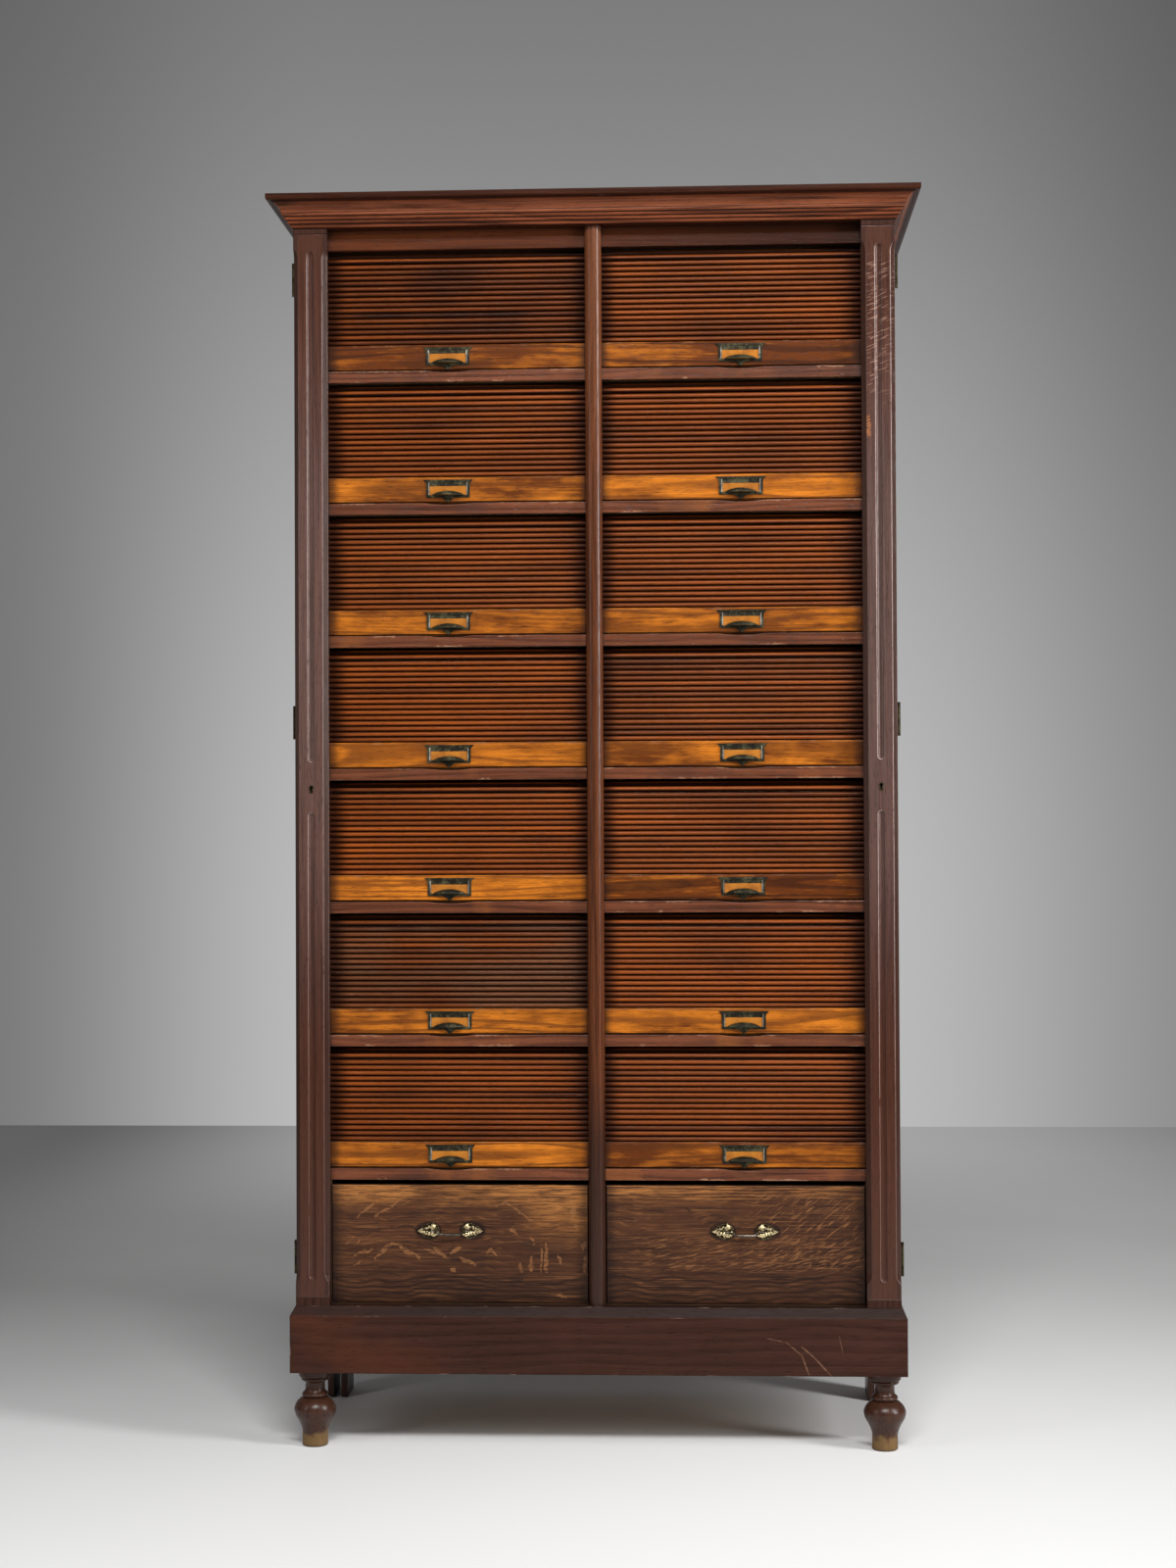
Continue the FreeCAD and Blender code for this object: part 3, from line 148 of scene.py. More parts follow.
class CabinetSizes(bpy.types.PropertyGroup):
    """Sizes of the pieces that are built here."""

    slat_pitch: length("Slat pitch", "Height of one slat with its gap", 0.0091)
    slat_width: length("Slat width", "Height of one slat", 0.0087)
    slat_thickness: length("Slat thickness", "Canvas line to crown", 0.007)
    slat_flank: length("Slat flank", "Flat side of a slat below its crown", 0.0038)
    bend_radius: length("Bend radius", "Canvas line round the head of the track", 0.013)
    canvas_thickness: length("Canvas thickness", "Backing that the slats are glued to", 0.001)
    canvas_margin: length("Canvas margin", "Bare slat ends beside the canvas", 0.017)
    rail_thickness: length("Rail thickness", "Front to back of a bottom rail", 0.016)
    rail_round: length("Rail rounding", "Rounded front edges of a bottom rail", 0.0025)
    rail_tongue: length("Rail tongue", "Rail end that runs in the track", 0.005)
    tongue_setback: length("Tongue setback", "Rail face to the tongue", 0.002)
    pull_width: length("Label pull width", "Label frame without its ears", 0.073)
    pull_height: length("Label pull height", "Label frame without its drop", 0.030)
    pull_ear: length("Label pull ear", "Flare at the top corners", 0.005)
    pull_drop: length("Label pull drop", "Pointed drop below the frame", 0.008)
    pull_thickness: length("Label pull thickness", "Plate of the label frame", 0.0016)
    pull_rise: length("Label pull rise", "Rail foot to the label frame", 0.00875)
    window_width: length("Window width", "Opening for the card", 0.0655)
    window_height: length("Window height", "Opening for the card", 0.022)
    cup_width: length("Cup width", "Finger cup, side to side", 0.056)
    cup_reach: length("Cup reach", "Finger cup, out from the frame", 0.010)
    handle_span: length("Handle span", "Post to post", 0.054)
    leaf_length: length("Leaf length", "Rosette, root to tip", 0.038)
    leaf_width: length("Leaf width", "Rosette across", 0.026)
    leaf_thickness: length("Leaf thickness", "Rosette plate at its rim", 0.0016)
    post_radius: length("Post radius", "Post that carries the bail", 0.0045)
    bail_radius: length("Bail radius", "Round bar of the drawer handle", 0.002)
    bail_drop: length("Bail drop", "Pivot to the hand grip", 0.005)
    bail_stand: length("Bail stand", "Drawer face to the pivot", 0.010)


class CabinetColours(bpy.types.PropertyGroup):
    """Colours of the finishes."""

    carcass_deep: colour("Carcass deep", "Dark grain of the carcass", (0.02, 0.005, 0.0025))
    carcass_main: colour("Carcass main", "Stain of the carcass", (0.115, 0.028, 0.009))
    frieze_main: colour("Frieze main", "Stain of the frieze under the cornice", (0.115, 0.029, 0.0085))
    crown_main: colour("Cornice main", "Stain of the cornice", (0.192, 0.051, 0.0195))
    top_main: colour("Top main", "Stain of the top board", (0.046, 0.0135, 0.006))
    shelf_main: colour("Shelf main", "Stain of the shelf edges", (0.172, 0.052, 0.022))
    pilaster_deep: colour("Pilaster deep", "Dark grain of the pilasters", (0.014, 0.005, 0.003))
    pilaster_main: colour("Pilaster main", "Stain of the pilasters", (0.074, 0.022, 0.011))
    plinth_main: colour("Plinth main", "Stain of the plinth", (0.057, 0.0232, 0.0152))
    bead_main: colour("Bead main", "Stain of the centre bead", (0.115, 0.033, 0.011))
    # Pale worn arrises of the pilasters, which also carry a painted highlight
    pilaster_rub_and_highlight: colour("Pilaster rub", "Pale arrises of the pilasters", (0.64, 0.47, 0.41))
    worn: colour("Worn edge", "Wood that shows through on edges", (0.52, 0.33, 0.265))
    raw_deep: colour("Raw oak deep", "Grain of the unstained inside", (0.20, 0.105, 0.043))
    raw_main: colour("Raw oak main", "Unstained inside", (0.36, 0.215, 0.10))
    # Dirt in pores and corners, and painted shade in corners and round the rosettes
    grime_and_shade: colour("Dirt And Shade", "Dirt in corners", (0.010, 0.005, 0.004))
    # Painted shade in the slat valleys and at their ends, and the colour of the pores
    slat_shade_and_pores: colour("Slat valley", "Between the slats", (0.0115, 0.0023, 0.0007))
    slat_crown: colour("Slat crown", "Crown of the slats", (0.311, 0.067, 0.0064))
    slat_dust: colour("Slat dust", "Greyed slats", (0.085, 0.05, 0.028))
    rail_dark: colour("Rail dark", "Stained bottom rail", (0.11, 0.028, 0.006))
    rail_honey: colour("Rail honey", "Bottom rail worn to honey", (0.60, 0.182, 0.016))
    drawer_deep: colour("Drawer deep", "Dark grain of the drawers", (0.018, 0.0068, 0.0042))
    drawer_main: colour("Drawer main", "Stain of the drawers", (0.09, 0.033, 0.0135))
    drawer_fleck: colour("Drawer fleck", "Rays of the quartered oak", (0.25, 0.108, 0.04))
    foot_main: colour("Foot main", "Stain of the turned feet", (0.068, 0.025, 0.0125))
    foot_bare: colour("Foot bare", "Bare foot of the turning", (0.20, 0.115, 0.040))
    bronze: colour("Bronze", "Dark label pulls", (0.0105, 0.0095, 0.00462))
    bronze_edge: colour("Bronze edge", "Rubbed edges of the label pulls", (0.0884, 0.076, 0.037))
    brass_dark: colour("Brass dark", "Recesses of the rosettes", (0.022, 0.016, 0.008))
    brass_bright: colour("Brass bright", "Rubbed brass", (0.83, 0.66, 0.37))
    bail_dark: colour("Bail dark", "Dull bar of the drawer handles", (0.050, 0.040, 0.028))
    bail_bright: colour("Bail bright", "Rubbed bar of the drawer handles", (0.30, 0.26, 0.20))
    lip_dark: colour("Card lip dark", "Dull lips that hold the card", (0.15, 0.138, 0.118))
    lip_bright: colour("Card lip bright", "Rubbed lips that hold the card", (0.62, 0.58, 0.51))
    canvas: colour("Canvas", "Backing of the slats", (0.33, 0.27, 0.19))
    card: colour("Card", "Bare label card", (0.46, 0.165, 0.022))


class CabinetStage(bpy.types.PropertyGroup):
    """Camera, light and floor."""

    camera_place: bpy.props.FloatVectorProperty(
        name="Camera place", description="Where the camera stands", default=(0.17684, -4.15884, 1.0422),
        size=3, subtype="TRANSLATION", unit="LENGTH")
    camera_turn: bpy.props.FloatVectorProperty(
        name="Camera turn", description="How the camera is turned", size=3, subtype="EULER", unit="ROTATION",
        default=(math.radians(90.843), math.radians(0.256), math.radians(2.720)))
    camera_lens: bpy.props.FloatProperty(
        name="Camera lens", description="Focal length on a 36 mm high film", default=55.03, unit="CAMERA")
    front_power: power("Front power", "Soft light high at the front", 245.0)
    right_power: power("Right power", "Tall soft light at the right", 120.0)
    left_power: power("Left power", "Tall soft light at the left", 18.0)
    room_light: colour("Room light", "Light from all round", (0.11, 0.11, 0.113))
    # The backdrop colours carry painted light: lighter near the floor, darker at the top
    wall_low_lit: colour("Wall low", "Backdrop near the floor", (0.5, 0.503, 0.5))
    wall_high_shaded: colour("Wall high", "Backdrop at the top", (0.18, 0.18, 0.18))
    # The floor colours carry painted light: bright in front of the cabinet, darker far back
    floor_near_lit: colour("Floor near", "Floor in front of the cabinet", (0.9, 0.9, 0.895))
    floor_far_shaded: colour("Floor far", "Floor behind the cabinet", (0.28, 0.28, 0.277))


class Tree:
    """Short ways to add and join the nodes of a material or a node group."""

    def __init__(self, node_tree):
        self.nodes, self.links = node_tree.nodes, node_tree.links

    def feed(self, socket, value):
        """Link a socket, or set the value of one."""
        if isinstance(value, bpy.types.NodeSocket):
            self.links.new(value, socket)
        elif socket.type == "RGBA" and len(value) == 3:
            socket.default_value = (*value, 1.0)
        else:
            socket.default_value = value

    def add(self, kind, inputs=(), **settings):
        """A node with its settings and inputs."""
        node = self.nodes.new("ShaderNode" + kind)
        for key, value in settings.items():
            setattr(node, key, value)
        for key, value in dict(inputs).items():
            self.feed(node.inputs[key], value)
        return node

    def math(self, operation, a, b=0.0, clamp=False):
        """One sum on two values."""
        return self.add("Math", {0: a, 1: b}, operation=operation, use_clamp=clamp).outputs[0]

    def chain(self, operation, values, clamp=False):
        """One sum on several values, from the first to the last."""
        total = values[0]
        for count, value in enumerate(values[1:], 2):
            total = self.math(operation, total, value, clamp and count == len(values))
        return total

    def times(self, *values):
        """The values multiplied."""
        return self.chain("MULTIPLY", values)

    def plus(self, *values, clamp=False):
        """The values added. A clamped sum stays between nought and one."""
        return self.chain("ADD", values, clamp)

    def most(self, *values):
        """The largest of the values."""
        return self.chain("MAXIMUM", values)

    def less(self, a, b):
        """One value less another."""
        return self.math("SUBTRACT", a, b)

    def over(self, a, b, clamp=False):
        """One value divided by another."""
        return self.math("DIVIDE", a, b, clamp)

    def apart(self, a, b=None):
        """How far a value is from another, or from nought."""
        return self.math("ABSOLUTE", a if b is None else self.less(a, b))

    def fraction(self, value):
        """What is left of a value after its whole number."""
        return self.math("FRACT", value)

    def swing(self, value, amount, middle=0.5):
        """A value's way from its middle, times an amount."""
        return self.times(self.less(value, middle), amount)

    def mix(self, share, a, b, blend="MIX"):
        """A colour between two colours."""
        node = self.add("Mix", data_type="RGBA", blend_type=blend)
        for index, value in ((0, share), (6, a), (7, b)):
            self.feed(node.inputs[index], value)
        return node.outputs[2]

    def lay(self, paint, colour, *masks):
        """Paint with a colour laid over it as far as the masks let it."""
        return self.mix(self.times(*masks), paint, colour)

    def dim(self, paint, share):
        """Paint made darker by a share."""
        return self.mix(1.0, paint, self.vector(share, share, share), "MULTIPLY")

    def pick(self, share, a, b):
        """A vector between two vectors."""
        node = self.add("Mix", data_type="VECTOR")
        for index, value in ((0, share), (4, a), (5, b)):
            self.feed(node.inputs[index], value)
        return node.outputs[1]

    def span(self, value, low, high, to_low=0.0, to_high=1.0):
        """A value eased from one span to another."""
        inputs = {"Value": value, "From Min": low, "From Max": high, "To Min": to_low, "To Max": to_high}
        return self.add("MapRange", inputs, interpolation_type="SMOOTHSTEP").outputs[0]

    def stretch(self, vector, scale):
        """A vector scaled on each axis."""
        return self.add("VectorMath", {0: vector, 1: scale}, operation="MULTIPLY").outputs[0]

    def shift(self, vector, offset):
        """A vector moved by another."""
        return self.add("VectorMath", {0: vector, 1: offset}, operation="ADD").outputs[0]

    def noise(self, vector, scale=1.0, detail=2.0, roughness=0.5):
        """The noise node on a vector."""
        return self.add("TexNoise", {"Vector": vector, "Scale": scale, "Detail": detail,
                                     "Roughness": roughness})

    def cloud(self, vector, scale, detail=2.0, roughness=0.5):
        """Noise stretched on each axis, as a value."""
        return self.noise(self.stretch(vector, scale), 1.0, detail, roughness).outputs[0]

    def parts(self, vector):
        """The three parts of a vector."""
        return self.add("SeparateXYZ", {0: vector}).outputs

    def vector(self, x, y, z):
        """A vector of three parts."""
        return self.add("CombineXYZ", {0: x, 1: y, 2: z}).outputs[0]

    def place(self):
        """Where the point is at rest, in metres."""
        return self.add("TexCoord").outputs["Object"]

    def attribute(self, name):
        """A value kept on the mesh."""
        return self.add("Attribute", attribute_name=name)

    def use(self, group, inputs):
        """A node group placed in this tree."""
        return self.add("Group", inputs, node_tree=bpy.data.node_groups[group]).outputs

    def dress(self, shader, paint, rough, sheen, height, strength, depth, normal=None):
        """Give a shader its colour, roughness, sheen and relief."""
        self.feed(shader["Base Color"], paint)
        self.feed(shader["Roughness"], rough)
        shader["Specular IOR Level"].default_value = sheen
        inputs = {"Strength": strength, "Distance": depth, "Height": height}
        if normal:
            inputs["Normal"] = normal
        self.feed(shader["Normal"], self.add("Bump", inputs).outputs[0])

    def shown(self):
        """One for the rays that show the backdrop: to the camera, off gloss and through glass."""
        seen = self.add("LightPath").outputs
        return self.most(seen["Is Camera Ray"], seen["Is Glossy Ray"], seen["Is Transmission Ray"])


def node_group(name, inputs, outputs):
    """An empty node group with named sockets."""
    group = bpy.data.node_groups.new(name, "ShaderNodeTree")
    for label, kind, default in inputs:
        socket = group.interface.new_socket(label, in_out="INPUT", socket_type="NodeSocket" + kind)
        if default is not None:
            socket.default_value = default
    for label, kind in outputs:
        group.interface.new_socket(label, in_out="OUTPUT", socket_type="NodeSocket" + kind)
    start, end = group.nodes.new("NodeGroupInput"), group.nodes.new("NodeGroupOutput")
    return Tree(group), start.outputs, end.inputs


def oak_figure_group():
    """Rings, streaks, pores and blotches of oak, on a vector whose X runs along the grain."""
    tree, given, out = node_group(
        "oak_figure", [("Vector", "Vector", None), ("Ring Width", "Float", 0.008), ("Seed", "Float", 0.0)],
        [("Rings", "Float"), ("Streaks", "Float"), ("Pores", "Float"), ("Blotches", "Float")])
    seed = given["Seed"]
    move = tree.vector(tree.times(seed, 1.7), tree.times(seed, 0.61), tree.times(seed, 0.43))
    place = tree.shift(given["Vector"], move)
    wander = tree.noise(tree.stretch(place, (1.6, 8.0, 8.0)), 1.0, 2.0).outputs[1]
    bent = tree.shift(place, tree.stretch(tree.shift(wander, (-0.5, -0.5, -0.5)), (0.0, 0.05, 0.05)))
    x, y, z = tree.parts(bent)
    reach = tree.math("SQRT", tree.plus(tree.times(y, y), tree.times(z, z)))
    turn = tree.fraction(tree.over(reach, given["Ring Width"]))
    ring = tree.times(tree.span(turn, 0.0, 0.7), tree.span(turn, 1.0, 0.82))
    tree.feed(out["Rings"], ring)
    tree.feed(out["Streaks"], tree.cloud(place, (6.0, 330.0, 330.0), 4.0, 0.62))
    tree.feed(out["Pores"], tree.span(tree.cloud(place, (60.0, 800.0, 800.0), 1.0), 0.60, 0.72))
    tree.feed(out["Blotches"], tree.cloud(place, (4.0, 9.0, 9.0), 3.0, 0.55))


def worn_edge_group():
    """Where the stain is rubbed off the edges, and the rounded normal there."""
    tree, given, out = node_group("worn_edge", [("Radius", "Float", 0.002), ("Amount", "Float", 0.5)],
                                  [("Edge", "Float"), ("Normal", "Vector")])
    bevel = tree.add("Bevel", {"Radius": given["Radius"]}, samples=6).outputs[0]
    flat = tree.add("NewGeometry").outputs["Normal"]
    likeness = tree.add("VectorMath", {0: bevel, 1: flat}, operation="DOT_PRODUCT").outputs["Value"]
    corner = tree.span(likeness, 0.993, 0.925)
    patch = tree.noise(tree.place(), 34.0, 4.0, 0.65).outputs[0]
    start = tree.less(0.95, given["Amount"])
    tree.feed(out["Edge"], tree.times(corner, tree.span(patch, start, tree.plus(start, 0.18))))
    tree.feed(out["Normal"], bevel)


def corner_dirt_and_shade_group():
    """Dirt and painted shade where surfaces close in on each other."""
    tree, given, out = node_group("corner_dirt_and_shade", [("Distance", "Float", 0.02)], [("Dirt And Shade", "Float")])
    # Painted shade: ambient occlusion darkens where surfaces close in
    hidden = tree.add("AmbientOcclusion", {"Distance": given["Distance"]}, samples=6).outputs["AO"]
    tree.feed(out["Dirt And Shade"], tree.span(hidden, 0.80, 0.30))


def ray_fleck_group():
    """Rays of quartered oak: fine flecks along a slant."""
    tree, given, out = node_group(
        "ray_flecks", [("Vector", "Vector", None), ("Slant", "Float", 0.5), ("Long", "Float", 25.0),
                       ("Thin", "Float", 180.0), ("Amount", "Float", 0.5)], [("Fleck", "Float")])
    x, y, z = tree.parts(given["Vector"])
    across = tree.less(z, tree.times(x, given["Slant"]))
    spot = tree.vector(tree.times(x, given["Long"]), 0.0, tree.times(across, given["Thin"]))
    grain = tree.noise(spot, 1.0, 1.5, 0.45).outputs[0]
    start = tree.less(0.9, given["Amount"])
    tree.feed(out["Fleck"], tree.span(grain, start, tree.plus(start, 0.09)))


def ray_stroke_group():
    """One broad ray of quartered oak: a stroke from one place on the board to another."""
    tree, given, out = node_group(
        "ray_stroke", [("Vector", "Vector", None), ("Start", "Vector", None), ("End", "Vector", None),
                       ("Width", "Float", 0.003)], [("Ray", "Float")])
    along = tree.add("VectorMath", {0: given["End"], 1: given["Start"]}, operation="SUBTRACT").outputs[0]
    away = tree.add("VectorMath", {0: given["Vector"], 1: given["Start"]}, operation="SUBTRACT").outputs[0]
    reach = tree.add("VectorMath", {0: away, 1: along}, operation="DOT_PRODUCT").outputs["Value"]
    full = tree.add("VectorMath", {0: along, 1: along}, operation="DOT_PRODUCT").outputs["Value"]
    share = tree.over(reach, full, clamp=True)
    near = tree.add("VectorMath", {0: along, "Scale": share}, operation="SCALE").outputs[0]
    gap = tree.add("VectorMath", {0: away, 1: near}, operation="DISTANCE").outputs["Value"]
    middle = tree.apart(share, 0.5)
    wide = tree.times(given["Width"], tree.span(middle, 0.5, 0.1, 0.60, 1.15))
    tree.feed(out["Ray"], tree.span(gap, wide, tree.times(wide, 0.45)))


def tarnish_group():
    """Old metal: bright where it is rubbed, dark in its recesses."""
    tree, given, out = node_group(
        "tarnish", [("Relief", "Float", 0.5), ("Scale", "Float", 220.0), ("Break", "Float", 0.9)],
        [("Bright", "Float"), ("Speck", "Float")])
    speck = tree.noise(tree.place(), given["Scale"], 3.0, 0.65).outputs[0]
    edge = tree.use("worn_edge", {"Radius": 0.0006, "Amount": 0.62})["Edge"]
    lit = tree.plus(given["Relief"], tree.swing(speck, given["Break"]))
    tree.feed(out["Bright"], tree.most(tree.span(lit, 0.38, 0.80), edge))
    tree.feed(out["Speck"], speck)


def new_material(name):
    """A material with its shader, and the tree to work on."""
    material = bpy.data.materials.new(name)
    material.use_nodes = True
    material.node_tree.nodes.clear()
    tree = Tree(material.node_tree)
    shader = tree.add("BsdfPrincipled")
    output = tree.add("OutputMaterial")
    tree.feed(output.inputs["Surface"], shader.outputs[0])
    return material, tree, shader.inputs


def grain_height(tree, figure):
    """Oak's own relief: streaks up, pores down."""
    return tree.less(figure["Streaks"], tree.times(figure["Pores"], 0.7))


def strokes(tree, spot, corner, lines):
    """Strokes on a board's front: two ends and a width each, in millimetres from its low corner."""
    drawn = 0.0
    for x0, z0, x1, z1, width in lines:
        ends = {"Start": (corner.x + x0 / 1000, 0.0, corner.z + z0 / 1000),
                "End": (corner.x + x1 / 1000, 0.0, corner.z + z1 / 1000)}
        stroke = tree.use("ray_stroke", {"Vector": spot, "Width": width / 1000, **ends})
        drawn = tree.most(drawn, stroke["Ray"])
    return drawn


def along_grain(tree, run):
    """The rest place turned so that X runs along the grain: X, Y, Z, or mitred round the front."""
    place = tree.place()
    x, y, z = tree.parts(place)
    if run == "X":
        return place
    if run == "Z":
        return tree.vector(z, x, y)
    side = tree.vector(y, x, z)
    if run == "Y":
        return side
    half = CAD_BOX[1][0]
    corner = half + CAD_BOX[0][1] - 0.001
    beyond = tree.less(tree.plus(tree.apart(x), y), corner)
    return tree.pick(tree.math("GREATER_THAN", beyond, 0.0), place, side)


def oak(name, run, deep, main, ring_width, seed, contrast=1.0, wear=0.45, gloss=0.27, sheen=0.25,
        grime_and_shade=0.018, raw=None, shade=None, rub=None, faint=None):
    """Stained oak. Raw is a span along Y behind which it is unstained, shade a last change of colour.

    Rub is the colour of worn edges, faint a span of heights below which they are hardly worn. With faint the
    edges also carry a painted highlight, brightest on the side that faces the right lamp.
    """
    colours = bpy.context.scene.cabinet_colours
    material, tree, shader = new_material(name)
    vector = along_grain(tree, run)
    figure = tree.use("oak_figure", {"Vector": vector, "Ring Width": ring_width, "Seed": seed})
    tone = tree.plus(tree.swing(figure["Rings"], 0.42 * contrast, 0.45),
                     tree.swing(figure["Streaks"], 1.5 * contrast),
                     tree.swing(figure["Blotches"], contrast), 0.62, clamp=True)
    paint = tree.mix(tone, deep, main)
    dirt_and_shade = tree.use("corner_dirt_and_shade", {"Distance": grime_and_shade})["Dirt And Shade"]
    edge = tree.use("worn_edge", {"Radius": 0.002, "Amount": wear})
    if raw:
        inner = tree.mix(tone, colours.raw_deep, colours.raw_main)
        y = tree.parts(tree.place())[1]
        paint = tree.lay(paint, inner, tree.span(y, *raw))
    if shade:
        paint = shade(tree, paint, figure)
    paint = tree.lay(paint, colours.grime_and_shade, figure["Pores"], 0.5)
    worn = edge["Edge"]
    if faint:
        # Painted highlight on the pale edges: brightest where they face the right lamp
        x, y, z = tree.parts(tree.place())
        highlight_facing = tree.add("VectorTransform", {0: edge["Normal"]}, vector_type="NORMAL",
                          convert_from="WORLD", convert_to="OBJECT").outputs[0]
        worn = tree.times(worn, tree.span(z, *faint, 0.28, 1.0), tree.span(z, 1.995, 1.975),
                          tree.span(x, -0.1, 0.1, 0.55, 1.0), tree.span(y, *PILASTER_FACE, 0.06, 1.0),
                          tree.span(tree.parts(highlight_facing)[0], -0.30, 0.10, 0.12, 1.0))
    paint = tree.lay(paint, rub or tuple(colours.worn), worn)
    # Dirt and painted shade where surfaces close in
    paint = tree.lay(paint, colours.grime_and_shade, dirt_and_shade, 0.8)
    rough = tree.plus(tree.times(figure["Streaks"], 0.22), gloss - 0.08, tree.times(dirt_and_shade, 0.25))
    tree.dress(shader, paint, rough, sheen, height=grain_height(tree, figure), strength=0.35, depth=0.0006,
               normal=edge["Normal"])
    return material


def pilaster_shade(tree, paint, figure):
    """Pilasters: painted grey sheen at reach, painted shade on chamfers, strokes and a bare patch high on
    the right one.
    """
    x, y, z = tree.parts(tree.place())
    # Painted sheen: a grey reflection laid on the flats at mid height
    painted_sheen = tree.times(tree.span(z, 0.55, 1.15), tree.span(figure["Streaks"], 0.25, 0.65, 0.5, 1.0),
                       tree.span(z, 1.95, 1.50, 0.10, 1.0))
    front = tree.span(y, *PILASTER_FACE)
    sheen_grey = tree.mix(tree.span(x, -0.1, 0.1), (0.185, 0.118, 0.102), (0.150, 0.105, 0.096))
    paint = tree.lay(paint, sheen_grey, painted_sheen, 0.47)
    ends = tree.most(tree.span(z, 0.95, 0.35), tree.span(z, 1.93, 1.99))
    paint = tree.lay(paint, (0.066, 0.023, 0.012), ends, 0.62)
    # Painted shade: the chamfers are painted darker
    aside = tree.apart(tree.apart(x), PILASTER_MIDDLE)
    paint = tree.lay(paint, (0.030, 0.012, 0.008), tree.span(aside, 0.0201, 0.0212, 0.0, 0.70))
    slope = tree.less(tree.times(z, 380.0), tree.times(x, 130.0))
    stroke = tree.noise(tree.vector(slope, tree.times(x, 55.0), 0.0), 1.0, 1.0).outputs[0]
    band = tree.times(tree.span(z, 1.70, 1.80), tree.span(z, 1.985, 1.95), tree.span(x, 0.4515, 0.4530),
                      tree.span(x, 0.500, 0.462, 0.35, 1.0), front)
    paint = tree.lay(paint, (0.36, 0.21, 0.15), tree.span(stroke, 0.56, 0.66), band, 0.55)
    ragged = tree.plus(x, tree.swing(stroke, 0.012))
    patch = tree.times(tree.span(z, 1.668, 1.674), tree.span(z, 1.712, 1.700),
                       tree.span(ragged, 0.4605, 0.4570), tree.span(x, 0.4505, 0.4525),
                       tree.span(stroke, 0.40, 0.56))
    return tree.lay(paint, (0.40, 0.15, 0.05), patch, front, 0.8)


def shelf_shade(tree, paint, figure):
    """Shelf edges: ragged pale chips along both arrises."""
    x, y, z = tree.parts(tree.place())
    row = tree.times(tree.fraction(tree.over(tree.less(z, ROW_FOOT), ROW_PITCH)), ROW_PITCH)
    ragged = tree.swing(tree.cloud(tree.place(), (160.0, 60.0, 200.0), 3.0, 0.6), 0.010)
    edge = tree.plus(row, ragged)
    low = tree.times(tree.span(edge, 0.0030, 0.0012),
                     tree.span(tree.cloud(tree.place(), (17.0, 60.0, 31.0), 3.0, 0.6), 0.56, 0.62))
    top = tree.times(tree.span(edge, 0.0163, 0.0178),
                     tree.span(tree.cloud(tree.place(), (13.0, 60.0, 47.0), 3.0, 0.6), 0.57, 0.63))
    chip = tree.most(low, tree.times(top, 0.8))
    warm = tree.span(tree.cloud(tree.place(), (7.0, 9.0, 3.1), 3.0, 0.6), 0.54, 0.68)
    paint = tree.lay(paint, (0.24, 0.075, 0.018), warm, 0.55)
    dim = tree.span(tree.cloud(tree.place(), (6.0, 9.0, 4.7), 3.0, 0.6), 0.52, 0.66)
    paint = tree.lay(paint, (0.060, 0.024, 0.016), dim, 0.45)
    return tree.lay(paint, (0.33, 0.165, 0.095), chip, 0.8)


def plinth_shade(tree, paint, figure):
    """Plinth: red patches, a few long scratches and a dull splay darkened with painted shade."""
    x, y, z = tree.parts(tree.place())
    low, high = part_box("plinth")
    red = tree.times(tree.span(figure["Blotches"], 0.46, 0.64), tree.span(x, 0.15, -0.35))
    paint = tree.lay(paint, (0.085, 0.024, 0.010), red, 0.5)
    spot = tree.vector(x, 0.0, z)
    broken = tree.span(tree.cloud(spot, (160.0, 1.0, 160.0), 3.0, 0.6), 0.36, 0.56, 0.2, 0.62)
    scratches = tree.times(strokes(tree, spot, low, PLINTH_SCRATCHES), broken,
                           tree.span(y, low.y + 0.003, low.y + 0.001))
    paint = tree.lay(paint, (0.24, 0.12, 0.075), scratches)
    # Painted shade: the splay is painted dark
    splay_shade = tree.span(z, high.z - 0.017, high.z - 0.013)
    return tree.lay(paint, (0.012, 0.0055, 0.004), splay_shade, 0.72)


def bead_shade(tree, paint, figure):
    """Centre bead: dark between the drawers, warmer high up."""
    x, y, z = tree.parts(tree.place())
    paint = tree.lay(paint, (0.20, 0.066, 0.024), tree.span(z, 1.4, 1.95, 0.0, 0.35))
    return tree.lay(paint, (0.019, 0.0085, 0.006), tree.span(z, 0.66, 0.42, 0.0, 0.78))


def frieze_shade(tree, paint, figure):
    """Frieze: painted light under the cornice, against its shadow, and darker towards the right."""
    x, y, z = tree.parts(tree.place())
    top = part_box("frieze_rail")[1].z
    # Painted light: paler just under the cornice, against the shadow it casts
    paint = tree.lay(paint, (0.26, 0.072, 0.025), tree.span(z, top - 0.022, top - 0.008, 0.0, 0.34))
    return tree.lay(paint, (0.020, 0.0055, 0.0025), tree.span(x, -0.3, 0.35, 0.12, 0.82))


def crown_shade(tree, paint, figure):
    """Cornice: the cove lighter than the reeds, and dark lines in the quirks and under the top edge."""
    x, y, z = tree.parts(tree.place())
    low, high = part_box("cornice")
    cove = tree.times(tree.span(z, high.z - 0.026, high.z - 0.020),
                      tree.span(z, high.z - 0.001, high.z - 0.006),
                      tree.span(figure["Streaks"], 0.40, 0.60, 0.15, 0.75))
    paint = tree.lay(paint, (0.27, 0.086, 0.040), cove)
    up = tree.less(z, low.z)
    quirk = tree.apart(tree.fraction(tree.plus(tree.over(up, REED), 0.5)), 0.5)
    quirk = tree.times(tree.span(quirk, 0.19, 0.08), tree.span(up, 4.4 * REED, 4.2 * REED))
    quirk = tree.most(quirk, tree.span(z, high.z - 0.0028, high.z - 0.0012))
    return tree.lay(paint, (0.016, 0.0045, 0.0025), quirk, 0.85)


